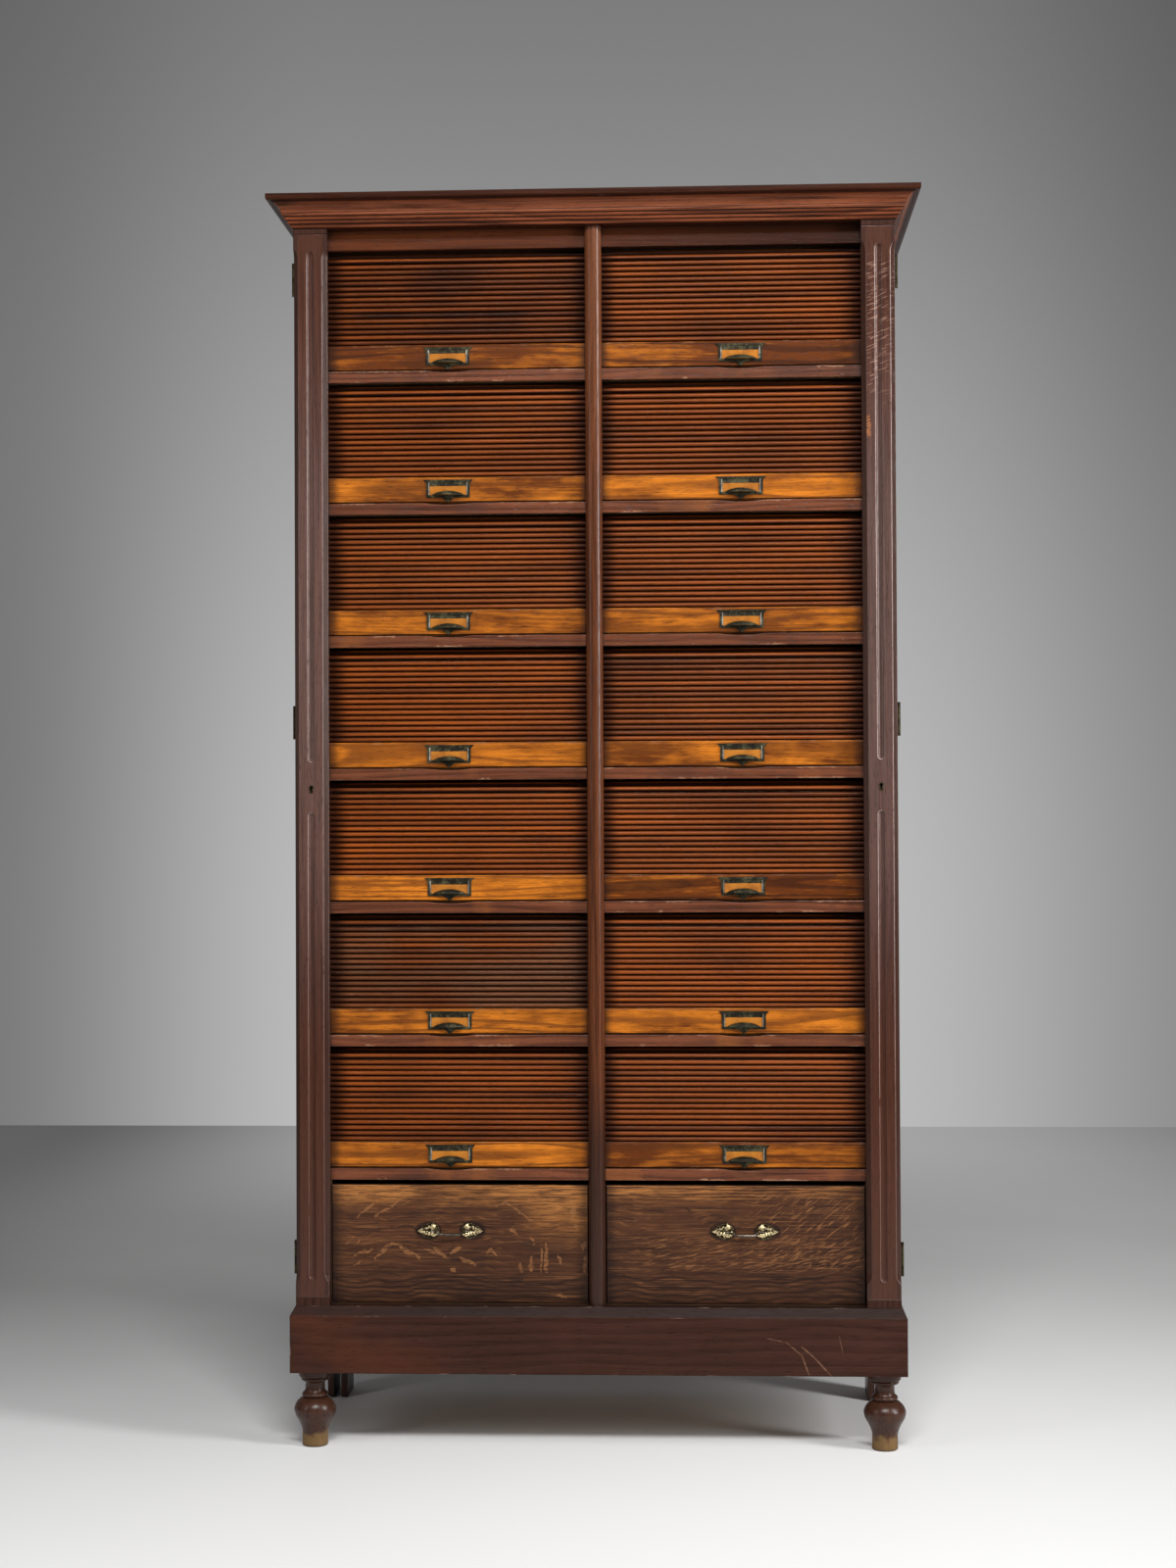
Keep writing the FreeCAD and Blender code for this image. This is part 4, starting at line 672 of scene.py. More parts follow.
def left_drawer_rays(tree, place, figure):
    """Broad ragged rays of the left drawer, and its golden top corner."""
    low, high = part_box("left_drawer_front")
    ragged = tree.shift(tree.noise(place, 95.0, 3.0, 0.6).outputs[1], (-0.5, -0.5, -0.5))
    spot = tree.stretch(tree.shift(place, tree.stretch(ragged, (0.011, 0.0, 0.011))), (1.0, 0.0, 1.0))
    rays = strokes(tree, spot, low, LEFT_RAYS)
    broken = tree.span(tree.cloud(place, (70.0, 1.0, 330.0), 4.0, 0.66), 0.34, 0.58)
    x, y, z = tree.parts(spot)
    corner = tree.times(tree.span(x, high.x - 0.125, high.x - 0.060),
                        tree.span(z, low.z + 0.085, low.z + 0.165))
    band = tree.times(tree.span(z, low.z + 0.155, low.z + 0.178), tree.span(figure["Blotches"], 0.42, 0.58))
    gold = tree.times(tree.most(corner, band), tree.span(figure["Streaks"], 0.36, 0.56, 0.5, 1.0))
    return tree.times(rays, broken), gold


def right_drawer_rays(tree, place, figure):
    """Fine slanting rays of the right drawer, and its golden top edge."""
    low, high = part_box("right_drawer_front")
    x, y, z = tree.parts(place)
    steep = tree.use("ray_flecks", {"Vector": place, "Slant": 0.75, "Long": 50.0, "Thin": 330.0,
                                    "Amount": 0.34})["Fleck"]
    flat = tree.use("ray_flecks", {"Vector": place, "Slant": 0.22, "Long": 42.0, "Thin": 380.0,
                                   "Amount": 0.35})["Fleck"]
    aside = tree.span(x, low.x + 0.21, low.x + 0.30)
    high_part = tree.times(tree.span(z, low.z + 0.05, low.z + 0.07),
                           tree.span(z, low.z + 0.19, low.z + 0.17))
    low_part = tree.times(tree.span(z, low.z + 0.05, low.z + 0.06),
                          tree.span(z, low.z + 0.125, low.z + 0.10),
                          tree.span(x, low.x + 0.03, low.x + 0.10))
    rays = tree.most(tree.times(steep, aside, high_part), tree.times(flat, low_part))
    band = tree.times(tree.span(z, low.z + 0.160, low.z + 0.185), tree.span(figure["Blotches"], 0.42, 0.58))
    return tree.times(rays, 0.72), tree.times(band, tree.span(figure["Streaks"], 0.42, 0.62))


def drawer_oak(side, seed, rays):
    """Quartered oak of a drawer front: rays, gold streaks, dark waves, a painted shadow round the rosettes.
    """
    colours = bpy.context.scene.cabinet_colours
    material, tree, shader = new_material(side + "_drawer_oak")
    low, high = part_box(side + "_drawer_front")
    handle_low, handle_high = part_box(side + "_drawer_rosettes")
    place = tree.place()
    x, y, z = tree.parts(place)
    figure = tree.use("oak_figure", {"Vector": place, "Ring Width": 0.012, "Seed": seed})
    tone = tree.plus(tree.swing(figure["Streaks"], 2.3), tree.swing(figure["Blotches"], 1.2), 0.56,
                     clamp=True)
    paint = tree.mix(tone, colours.drawer_deep, colours.drawer_main)
    fine = tree.span(tree.cloud(place, (9.0, 1.0, 520.0), 3.0, 0.6), 0.54, 0.68)
    paint = tree.lay(paint, colours.drawer_fleck, fine, 0.48)
    sway = tree.swing(tree.cloud(place, (14.0, 1.0, 18.0), 2.0), 0.040)
    bent = tree.vector(x, 0.0, tree.plus(z, sway))
    flare = tree.times(tree.span(tree.cloud(bent, (20.0, 1.0, 230.0), 4.0, 0.68), 0.53, 0.63),
                       tree.span(tree.cloud(place, (5.0, 1.0, 9.0), 2.0), 0.40, 0.58, 0.15, 1.0),
                       tree.span(z, low.z + 0.04, low.z + 0.13, 0.25, 1.0))
    paint = tree.lay(paint, (0.21, 0.088, 0.030), flare, 0.60)
    shadow = tree.span(tree.cloud(bent, (12.0, 1.0, 150.0), 4.0, 0.66), 0.47, 0.36)
    paint = tree.lay(paint, (0.018, 0.0085, 0.006), shadow, 0.66)
    swell = tree.plus(z, tree.swing(tree.cloud(place, (9.0, 1.0, 22.0), 2.0), 0.055))
    wavy = tree.fraction(tree.over(swell, 0.0105))
    wavy = tree.times(tree.span(wavy, 0.30, 0.55), tree.span(wavy, 0.98, 0.70))
    foot = tree.span(swell, low.z + 0.056, low.z + 0.044)
    paint = tree.lay(paint, (0.014, 0.0055, 0.003), wavy, foot, 0.66)
    ray, gold = rays(tree, place, figure)
    grain = tree.span(tree.cloud(place, (22.0, 1.0, 420.0), 4.0, 0.68), 0.42, 0.56, 0.22, 1.0)
    paint = tree.lay(paint, (0.40, 0.160, 0.042), gold, grain, 0.92)
    paint = tree.lay(paint, colours.drawer_fleck, ray, 0.86)
    middle, half = tree.apart(x, (low.x + high.x) / 2), (high.x - low.x) / 2
    border = tree.span(middle, half - 0.022, half - 0.002)
    paint = tree.lay(paint, colours.grime_and_shade, border, 0.55)
    # Painted shadow: a dark ring on the wood round each rosette
    post = tree.apart(x, (handle_low.x + handle_high.x) / 2)
    rosette_shadow_x = tree.over(tree.less(post, 0.037), 0.0215)
    rosette_shadow_z = tree.over(tree.less(z, (handle_low.z + handle_high.z) / 2), 0.0150)
    rosette_shadow = tree.plus(tree.times(rosette_shadow_x, rosette_shadow_x), tree.times(rosette_shadow_z, rosette_shadow_z))
    paint = tree.lay(paint, colours.grime_and_shade, tree.span(rosette_shadow, 1.2, 0.9), 0.7)
    inner = tree.mix(tone, colours.raw_deep, colours.raw_main)
    paint = tree.lay(paint, inner, tree.span(y, low.y + 0.010, low.y + 0.016))
    paint = tree.lay(paint, colours.grime_and_shade, figure["Pores"], 0.5)
    edge = tree.use("worn_edge", {"Radius": 0.0016, "Amount": 0.52})
    paint = tree.lay(paint, colours.worn, edge["Edge"])
    # Dirt and painted shade where surfaces close in
    dirt_and_shade = tree.use("corner_dirt_and_shade", {"Distance": 0.025})["Dirt And Shade"]
    paint = tree.lay(paint, colours.grime_and_shade, dirt_and_shade, 0.8)
    rough = tree.less(tree.plus(tree.times(figure["Streaks"], 0.25), 0.34), tree.times(ray, 0.06))
    tree.dress(shader, paint, rough, sheen=0.16, height=grain_height(tree, figure), strength=0.35,
               depth=0.0006, normal=edge["Normal"])
    return material


def slat_oak():
    """Slats: warm rubbed crowns, painted shade in the valleys and low on each slat, dirt and painted shade
    at the ends.
    """
    colours = bpy.context.scene.cabinet_colours
    material, tree, shader = new_material("slat_oak")
    place = tree.place()
    x, y, z = tree.parts(place)
    figure = tree.use("oak_figure", {"Vector": place, "Ring Width": 0.02, "Seed": 3.0})
    # The crown value drives the painted shade in the valleys and on the lower half of each slat
    crown = tree.attribute("crown").outputs["Fac"]
    tone = tree.plus(tree.attribute("tone").outputs["Fac"], tree.swing(figure["Streaks"], 1.1),
                     tree.swing(figure["Blotches"], 2.0))
    lit = tree.plus(tree.times(tone, 0.55), 0.52, clamp=True)
    paint = tree.mix(lit, (0.022, 0.006, 0.002), colours.slat_crown)
    dust = tree.times(tree.attribute("dust").outputs["Fac"], tree.span(figure["Blotches"], 0.35, 0.6))
    paint = tree.lay(paint, colours.slat_dust, dust)
    # Dirt and painted shade at the slat ends, by the pilasters and the bead
    ends = tree.most(tree.span(tree.apart(x), 0.408, 0.440), tree.span(tree.apart(x), 0.044, 0.016))
    paint = tree.lay(paint, colours.slat_shade_and_pores, ends, 0.88)
    rub = tree.times(tree.span(tree.cloud(place, (40.0, 160.0, 160.0), 3.0), 0.66, 0.74),
                     tree.span(crown, 0.8, 1.0))
    paint = tree.lay(paint, (0.38, 0.16, 0.075), rub, 0.5)
    paint = tree.lay(paint, colours.slat_shade_and_pores, figure["Pores"], 0.4)
    # Painted shade: the valleys between slats and the lower half of each slat are painted dark
    paint = tree.lay(paint, colours.slat_shade_and_pores, tree.span(crown, 0.90, 0.61))
    rough = tree.plus(tree.times(figure["Streaks"], 0.2), 0.26)
    tree.dress(shader, paint, rough, sheen=0.05, height=figure["Streaks"], strength=0.3, depth=0.0004)
    dull = tree.less(1.0, ends)
    tree.feed(shader["Coat Weight"], tree.times(tree.span(crown, 0.70, 0.90, 0.0, 0.14), dull))
    shader["Coat Roughness"].default_value = 0.30
    return material


def rail_oak():
    """Bottom rails: flame figure, dark to honey, with ends darkened by dirt and painted shade."""
    colours = bpy.context.scene.cabinet_colours
    material, tree, shader = new_material("rail_oak")
    board = tree.attribute("board").outputs["Vector"]
    figure = tree.use("oak_figure", {"Vector": board, "Ring Width": 0.0085, "Seed": 0.0})
    x, y, z = tree.parts(tree.place())
    honey = tree.attribute("honey").outputs["Fac"]
    patch = tree.cloud(board, (14.0, 30.0, 60.0), 4.0, 0.62)
    tone = tree.plus(honey, tree.swing(figure["Blotches"], 2.0), tree.swing(figure["Streaks"], 1.2),
                     tree.swing(patch, 2.0), clamp=True)
    paint = tree.mix(tone, colours.rail_dark, colours.rail_honey)
    flame = tree.times(tree.span(figure["Rings"], 0.62, 0.0), 0.80)
    paint = tree.lay(paint, tree.mix(honey, (0.040, 0.012, 0.005), (0.25, 0.072, 0.011)), flame)
    fine = tree.span(tree.cloud(board, (14.0, 90.0, 520.0), 2.0, 0.5), 0.55, 0.68)
    paint = tree.lay(paint, colours.rail_dark, fine, 0.42)
    # Dirt and painted shade at the ends, by the pilasters and the bead
    ends = tree.most(tree.span(tree.apart(x), 0.424, 0.440), tree.span(tree.apart(x), 0.030, 0.014))
    paint = tree.lay(paint, (0.03, 0.011, 0.006), ends, 0.70)
    paint = tree.lay(paint, colours.grime_and_shade, figure["Pores"], 0.5)
    edge = tree.use("worn_edge", {"Radius": 0.002, "Amount": 0.42})
    paint = tree.lay(paint, (0.40, 0.20, 0.10), edge["Edge"])
    # Dirt and painted shade where surfaces close in
    dirt_and_shade = tree.use("corner_dirt_and_shade", {"Distance": 0.012})["Dirt And Shade"]
    paint = tree.lay(paint, colours.grime_and_shade, dirt_and_shade, 0.75)
    rough = tree.plus(tree.times(figure["Streaks"], 0.2), 0.22)
    tree.dress(shader, paint, rough, sheen=0.09, height=grain_height(tree, figure), strength=0.3,
               depth=0.0005, normal=edge["Normal"])
    return material


def foot_oak():
    """Turned feet: dark gloss above, bare ragged wood where the foot is scuffed."""
    colours = bpy.context.scene.cabinet_colours
    material, tree, shader = new_material("foot_oak")
    place = tree.place()
    x, y, z = tree.parts(place)
    figure = tree.use("oak_figure", {"Vector": tree.vector(z, x, y), "Ring Width": 0.006, "Seed": 2.0})
    tone = tree.plus(tree.swing(figure["Streaks"], 1.6), 0.55, clamp=True)
    paint = tree.mix(tone, (0.018, 0.008, 0.006), colours.foot_main)
    bare = tree.mix(tone, (0.10, 0.055, 0.022), colours.foot_bare)
    ragged = tree.plus(z, tree.swing(tree.noise(place, 70.0, 3.0).outputs[0], 0.03))
    worn = tree.span(ragged, 0.026, 0.017)
    paint = tree.lay(paint, bare, worn)
    # Dirt and painted shade where surfaces close in
    dirt_and_shade = tree.use("corner_dirt_and_shade", {"Distance": 0.012})["Dirt And Shade"]
    paint = tree.lay(paint, colours.grime_and_shade, dirt_and_shade, 0.7)
    rough = tree.plus(tree.times(worn, 0.38), tree.span(figure["Streaks"], 0.2, 0.8, 0.24, 0.36))
    tree.dress(shader, paint, rough, sheen=0.28, height=figure["Streaks"], strength=0.25, depth=0.0005)
    return material


def old_metal(name, dark, bright, relief=None, metallic=1.0, gloss=0.36, sheen=0.5):
    """Aged brass or bronze. Relief is the mesh attribute that says what stands proud."""
    material, tree, shader = new_material(name)
    if relief:
        inputs = {"Relief": tree.attribute(relief).outputs["Fac"], "Scale": 430.0, "Break": 3.2}
    else:
        inputs = {"Relief": tree.noise(tree.place(), 60.0, 2.0).outputs[0]}
    age = tree.use("tarnish", inputs)
    paint = tree.mix(age["Bright"], dark, bright)
    rough = tree.plus(tree.times(age["Speck"], 0.3), gloss - 0.12)
    tree.dress(shader, paint, rough, sheen, height=age["Speck"], strength=0.3, depth=0.0003)
    shader["Metallic"].default_value = metallic
    return material


def canvas_cloth():
    """Woven backing of the slats."""
    colours = bpy.context.scene.cabinet_colours
    material, tree, shader = new_material("backing_canvas")
    x, y, z = tree.parts(tree.place())
    weave = tree.times(*(tree.math("SINE", tree.times(way, 3500.0)) for way in (x, z)))
    soil = tree.noise(tree.place(), 14.0, 4.0).outputs[0]
    paint = tree.mix(tree.span(soil, 0.35, 0.75), colours.canvas, (0.17, 0.125, 0.08))
    tree.dress(shader, paint, rough=0.9, sheen=0.5, height=weave, strength=0.4, depth=0.0003)
    return material


def card_paper():
    """Bare label cards, browned at their edges by dirt and painted shade."""
    colours = bpy.context.scene.cabinet_colours
    material, tree, shader = new_material("label_card")
    fibre = tree.cloud(tree.place(), (120.0, 120.0, 900.0), 3.0)
    stain = tree.noise(tree.place(), 45.0, 3.0).outputs[0]
    paint = tree.mix(tree.span(stain, 0.35, 0.75), colours.card, (0.30, 0.10, 0.018))
    paint = tree.lay(paint, (0.60, 0.32, 0.09), tree.span(fibre, 0.5, 0.8), 0.35)
    # Dirt and painted shade where the frame closes in on the card
    dirt_and_shade = tree.use("corner_dirt_and_shade", {"Distance": 0.006})["Dirt And Shade"]
    paint = tree.lay(paint, (0.08, 0.03, 0.01), dirt_and_shade, 0.6)
    tree.dress(shader, paint, rough=0.75, sheen=0.06, height=fibre, strength=0.2, depth=0.0002)
    return material


def make_groups():
    """Every node group, once."""
    for build in (oak_figure_group, worn_edge_group, corner_dirt_and_shade_group, ray_fleck_group, ray_stroke_group,
                  tarnish_group):
        build()


def finish_nodes(material, *names):
    """Give CAD nodes a material."""
    for name in names:
        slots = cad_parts[name].data.materials
        slots.clear()
        slots.append(material)


class Shape:
    """Points, faces and point values of a piece while it is built."""

    def __init__(self):
        self.points, self.faces, self.kinds, self.values = [], [], [], {}

    def grid(self, rows, closed=False, caps=False, kind=0):
        """Join rows of points into a skin, each row an open or closed line."""
        start, across = len(self.points), len(rows[0])
        for row in rows:
            self.points.extend(row)
        span = across if closed else across - 1
        for i in range(len(rows) - 1):
            for j in range(span):
                a, b = start + i * across + j, start + i * across + (j + 1) % across
                self.face((a, b, b + across, a + across), kind)
        if caps:
            self.face(tuple(range(start, start + across)), kind)
            last = start + (len(rows) - 1) * across
            self.face(tuple(range(last + across - 1, last - 1, -1)), kind)

    def bar(self, line, ends, kind=0):
        """A bar along X of one closed section of (y, z), between two ends."""
        self.grid([[(x, y, z) for y, z in line] for x in ends], closed=True, caps=True, kind=kind)

    def face(self, corners, kind=0):
        """One face with its material number."""
        self.faces.append(corners)
        self.kinds.append(kind)

    def value(self, name, numbers):
        """Keep values for the points added last."""
        kept = self.values.setdefault(name, [])
        kept.extend([0.0] * (len(self.points) - len(numbers) - len(kept)))
        kept.extend(numbers)

    def mesh(self, name, materials, weld=0.0):
        """The finished mesh, outsides outward."""
        mesh = bpy.data.meshes.new(name)
        mesh.from_pydata(self.points, [], self.faces)
        mesh.polygons.foreach_set("material_index", self.kinds)
        for label, numbers in self.values.items():
            numbers = numbers + [0.0] * (len(self.points) - len(numbers))
            layer = mesh.attributes.new(label, "FLOAT", "POINT")
            layer.data.foreach_set("value", numbers)
        for material in materials:
            mesh.materials.append(material)
        form = bmesh.new()
        form.from_mesh(mesh)
        if weld:
            bmesh.ops.remove_doubles(form, verts=form.verts, dist=weld)
        bmesh.ops.recalc_face_normals(form, faces=form.faces)
        form.to_mesh(mesh)
        form.free()
        return mesh


def new_piece(name, mesh, body, smooth=32.0):
    """An object of a mesh that rides on a body."""
    mesh.shade_smooth()
    mesh.set_sharp_from_angle(angle=math.radians(smooth))
    piece = bpy.data.objects.new(name, mesh)
    bpy.context.scene.collection.objects.link(piece)
    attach(piece, body)
    return piece


def wave(*place):
    """Slow even noise between -1 and 1."""
    return noise.noise(Vector(place))


def arc(a, b, radius, steps):
    """Points after a up to b on an arc. A radius above nought bulges to the right of the way from a to b."""
    (ax, ay), (bx, by) = a, b
    chord = math.hypot(bx - ax, by - ay)
    side = math.copysign(1.0, radius)
    rise = math.sqrt(max(radius * radius - chord * chord / 4, 0.0))
    mx, my = (ax + bx) / 2, (ay + by) / 2
    nx, ny = (by - ay) / chord, -(bx - ax) / chord
    cx, cy = mx - side * nx * rise, my - side * ny * rise
    start, end = math.atan2(ay - cy, ax - cx), math.atan2(by - cy, bx - cx)
    turn = (end - start + math.pi) % (2 * math.pi) - math.pi
    return [(cx + abs(radius) * math.cos(start + turn * k / steps),
             cy + abs(radius) * math.sin(start + turn * k / steps)) for k in range(1, steps + 1)]


def circle(steps):
    """Cosine and sine of even steps round a circle."""
    return [(math.cos(2 * math.pi * k / steps), math.sin(2 * math.pi * k / steps)) for k in range(steps)]


def lathe(shape, profile, centre, steps=48):
    """Turn a profile of (radius, height) about an upright axis."""
    x, y, z = centre
    start, across = len(shape.points), len(profile)
    shape.grid([[(x + r * c, y + r * s, z + h) for r, h in profile] for c, s in circle(steps)])
    for j in range(across - 1):
        a, b = start + (steps - 1) * across + j, start + j
        shape.face((a, a + 1, b + 1, b))
    for j in (0, across - 1):
        shape.face(tuple(start + k * across + j for k in range(steps)))


def turning(shape, profile, foot, axis, steps):
    """Turn a profile of (radius, reach) about any axis from a foot point."""
    axis = Vector(axis).normalized()
    side = axis.orthogonal().normalized()
    other = axis.cross(side)
    shape.grid([[tuple(Vector(foot) + axis * h + (side * c + other * s) * max(r, 1e-5))
                 for c, s in circle(steps)] for r, h in profile], closed=True, caps=True)


def tube(shape, path, radii, steps=14):
    """A round bar along a path."""
    rows = []
    path = [Vector(p) for p in path]
    for i, point in enumerate(path):
        ahead = (path[min(i + 1, len(path) - 1)] - path[max(i - 1, 0)]).normalized()
        side = ahead.cross(Vector((0, 1, 0))).normalized()
        up = ahead.cross(side)
        rows.append([tuple(point + (side * c + up * s) * radii[i]) for c, s in circle(steps)])
    shape.grid(rows, closed=True, caps=True)


def plate(shape, outline, hole, depth, edge, settle):
    """A flat plate with eased edges. Settle moves its points from the drawing to their place."""
    drawing = bpy.data.curves.new("plate_drawing", "CURVE")
    drawing.dimensions, drawing.fill_mode = "2D", "BOTH"
    drawing.extrude, drawing.bevel_depth, drawing.bevel_resolution = depth / 2 - edge, edge, 2
    drawing.offset = -edge
    for line in (outline, hole):
        spline = drawing.splines.new("POLY")
        spline.points.add(len(line) - 1)
        for point, (x, z) in zip(spline.points, line):
            point.co = (x, z, 0.0, 1.0)
        spline.use_cyclic_u = True
    helper = bpy.data.objects.new("plate_helper", drawing)
    bpy.context.scene.collection.objects.link(helper)
    bpy.context.view_layer.update()
    cast = bpy.data.meshes.new_from_object(helper.evaluated_get(bpy.context.evaluated_depsgraph_get()))
    start = len(shape.points)
    shape.points.extend(settle(*vertex.co) for vertex in cast.vertices)
    for polygon in cast.polygons:
        shape.face(tuple(start + v for v in polygon.vertices))
    bpy.data.objects.remove(helper)
    bpy.data.curves.remove(drawing)
    bpy.data.meshes.remove(cast)


def shutter_body(side, row):
    """The body that one shutter's pieces ride on."""
    return "shutter_%s_%d" % (side, row)


def shutter_mark(side, row):
    """A number of its own for each shutter, from which its waves start."""
    return row + (10 if side == "right" else 0)


def slat_section(sizes):
    """Points (out, up) of one slat: a flat back on the canvas line and a round crown."""
    half, crown = sizes.slat_width / 2, sizes.slat_thickness - sizes.slat_flank
    radius = (half ** 2 + crown ** 2) / (2 * crown)
    face = arc((sizes.slat_flank, -half), (sizes.slat_flank, half), radius, 8)
    return [(0.0, -half), (sizes.slat_flank * 0.5, -half), (sizes.slat_flank, -half)] + face + \
        [(sizes.slat_flank * 0.5, half), (0.0, half)]


def slat_crown(out, up, sizes):
    """How far a point of a slat is rubbed and painted light: most on the crown, less on its lower half,
    which gets painted shade.
    """
    return max(out / sizes.slat_thickness - 0.12 * (1.0 - 2.0 * up / sizes.slat_width), 0.0)


def roll_curtain(side, row, sizes, materials):
    """The slats of one shutter on their canvas: a hang that rides on the shutter, and a still head."""
    node = "shutter_slats_%s_%d" % (side, row)
    low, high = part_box(node)
    back, foot = low.y + sizes.slat_thickness, low.z
    radius = sizes.bend_radius
    bend_y, bend_z = back + radius, foot + STRAIGHT_SLATS * sizes.slat_pitch
    spots = [(back, foot + (i + 0.5) * sizes.slat_pitch, 0.0) for i in range(STRAIGHT_SLATS)]
    for i in range(BEND_SLATS):
        a = (i + 0.5) * sizes.slat_pitch / radius
        spots.append((bend_y - radius * math.cos(a), bend_z + radius * math.sin(a), a))
    tail = bend_y + (BEND_SLATS + 0.5) * sizes.slat_pitch - radius * math.pi / 2
    spots.append((tail, bend_z + radius, math.pi / 2))
    hang, head, section = Shape(), Shape(), slat_section(sizes)
    mark = shutter_mark(side, row)
    for i, (y0, z0, a) in enumerate(spots):
        shape, rows = hang if i < STRAIGHT_SLATS else head, []
        for k in range(SLAT_STEPS + 1):
            x = low.x + (high.x - low.x) * k / SLAT_STEPS
            sway = SLAT_SWAY * wave(x * 7, i * 2.7, mark)
            rise = SLAT_RISE * wave(x * 6, i * 3.9, mark + 40)
            rows.append([(x, y0 - d * math.cos(a) + h * math.sin(a) + max(sway, 0.0),
                          z0 + d * math.sin(a) + h * math.cos(a) + rise) for d, h in section])
        shape.grid(rows, closed=True, caps=True)
        # The crown value sets the painted shade in the valleys and on the lower half of each slat
        shape.value("crown", [slat_crown(d, h, sizes) for _ in rows for d, h in section])
        tone = CURTAIN_TONE[side][row - 1] + 0.75 * wave(i * 5.3, mark * 1.9, 7.0)
        tone += 0.2 if i == STRAIGHT_SLATS else 0.0
        count = len(rows) * len(section)
        shape.value("tone", [tone] * count)
        shape.value("dust", [CURTAIN_DUST[side][row - 1]] * count)
    thin, ends = sizes.canvas_thickness, (low.x + sizes.canvas_margin, high.x - sizes.canvas_margin)
    rise = [foot + (bend_z - foot) * k / 6 for k in range(7)]
    loop = [(back + CANVAS_GAP, z) for z in rise] + [(back + thin, z) for z in reversed(rise)]
    hang.bar(loop, ends, kind=1)
    turn = [math.pi * k / 16 for k in range(9)]
    outer = [(bend_y - radius * math.cos(a) + CANVAS_GAP, bend_z + radius * math.sin(a)) for a in turn]
    inner = [(bend_y - (radius - thin) * math.cos(a), bend_z + (radius - thin) * math.sin(a)) for a in turn]
    tip = tail + sizes.slat_pitch / 2
    loop = outer + [(tip, bend_z + radius), (tip, bend_z + radius - thin)] + inner[::-1]
    head.bar(loop, ends, kind=1)
    piece = new_piece("roll_curtain_%s_%d" % (side, row), hang.mesh(node + "_mesh", materials),
                      shutter_body(side, row), 40.0)
    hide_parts(node)
    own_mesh(piece)
    new_piece("roll_head_%s_%d" % (side, row), head.mesh(node + "_head_mesh", materials), "carcass",
              40.0)


def bottom_rail(side, row, sizes, material):
    """The bottom rail of one shutter, with rounded front edges and tongues in the tracks."""
    node = "shutter_rail_%s_%d" % (side, row)
    low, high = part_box(node)
    front, back, foot, head, r = high.y - sizes.rail_thickness, high.y, low.z, high.z, sizes.rail_round
    loop = [(back, foot), (back, head), (front + r, head)]
    loop += arc((front + r, head), (front, head - r), -r, 4)
    loop += [(front, head - r - (head - foot - 2 * r) * k / 5) for k in range(1, 6)]
    loop += arc((front, foot + r), (front + r, foot), -r, 4)
    shape, tongue = Shape(), sizes.rail_tongue + TONGUE_GAP
    inner, outer = low.x + tongue, high.x - tongue
    mark = shutter_mark(side, row)
    rows = []
    for k in range(RAIL_STEPS + 1):
        x = inner + (outer - inner) * k / RAIL_STEPS
        rows.append([(x, y + (RAIL_WAVE * max(wave(x * 11, z * 40, mark), 0.0) if y < back else 0.0), z)
                     for y, z in loop])
    shape.grid(rows, closed=True, caps=True)
    tongue_front, tongue_back = front + sizes.tongue_setback, back - TONGUE_BACK
    box = [(tongue_front, foot), (tongue_back, foot), (tongue_back, head), (tongue_front, head)]
    for ends in ((low.x, inner), (outer, high.x)):
        shape.bar(box, ends)
    middle = (low.x + high.x) / 2
    honey, fade = HONEY[side][row - 1], 0.16 if (side, row) == ("left", 1) else 0.0
    shape.value("honey", [honey + fade * (x - middle) / 0.24 for x, y, z in shape.points])
    mesh = shape.mesh(node + "_mesh", [material])
    board = mesh.attributes.new("board", "FLOAT_VECTOR", "POINT")
    slip = (1.3 * mark, 0.022 * wave(mark * 3.1, 0.5, 0.0), 0.03 * wave(mark * 1.7, 2.5, 0.0))
    for point, vertex in zip(board.data, mesh.vertices):
        x, y, z = vertex.co
        tilt = 0.05 * (x - middle) * wave(mark, 4.4, 1.0)
        point.vector = (x + slip[0], y - front + 0.028 + slip[1], (z - foot - 0.022) + slip[2] + tilt)
    piece = new_piece("bottom_rail_%s_%d" % (side, row), mesh, shutter_body(side, row), 50.0)
    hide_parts(node)


def pull_place(side, row, sizes):
    """Middle, rail face and foot of a label pull."""
    low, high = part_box("shutter_rail_%s_%d" % (side, row))
    return (low.x + high.x) / 2, high.y - sizes.rail_thickness, low.z + sizes.pull_rise


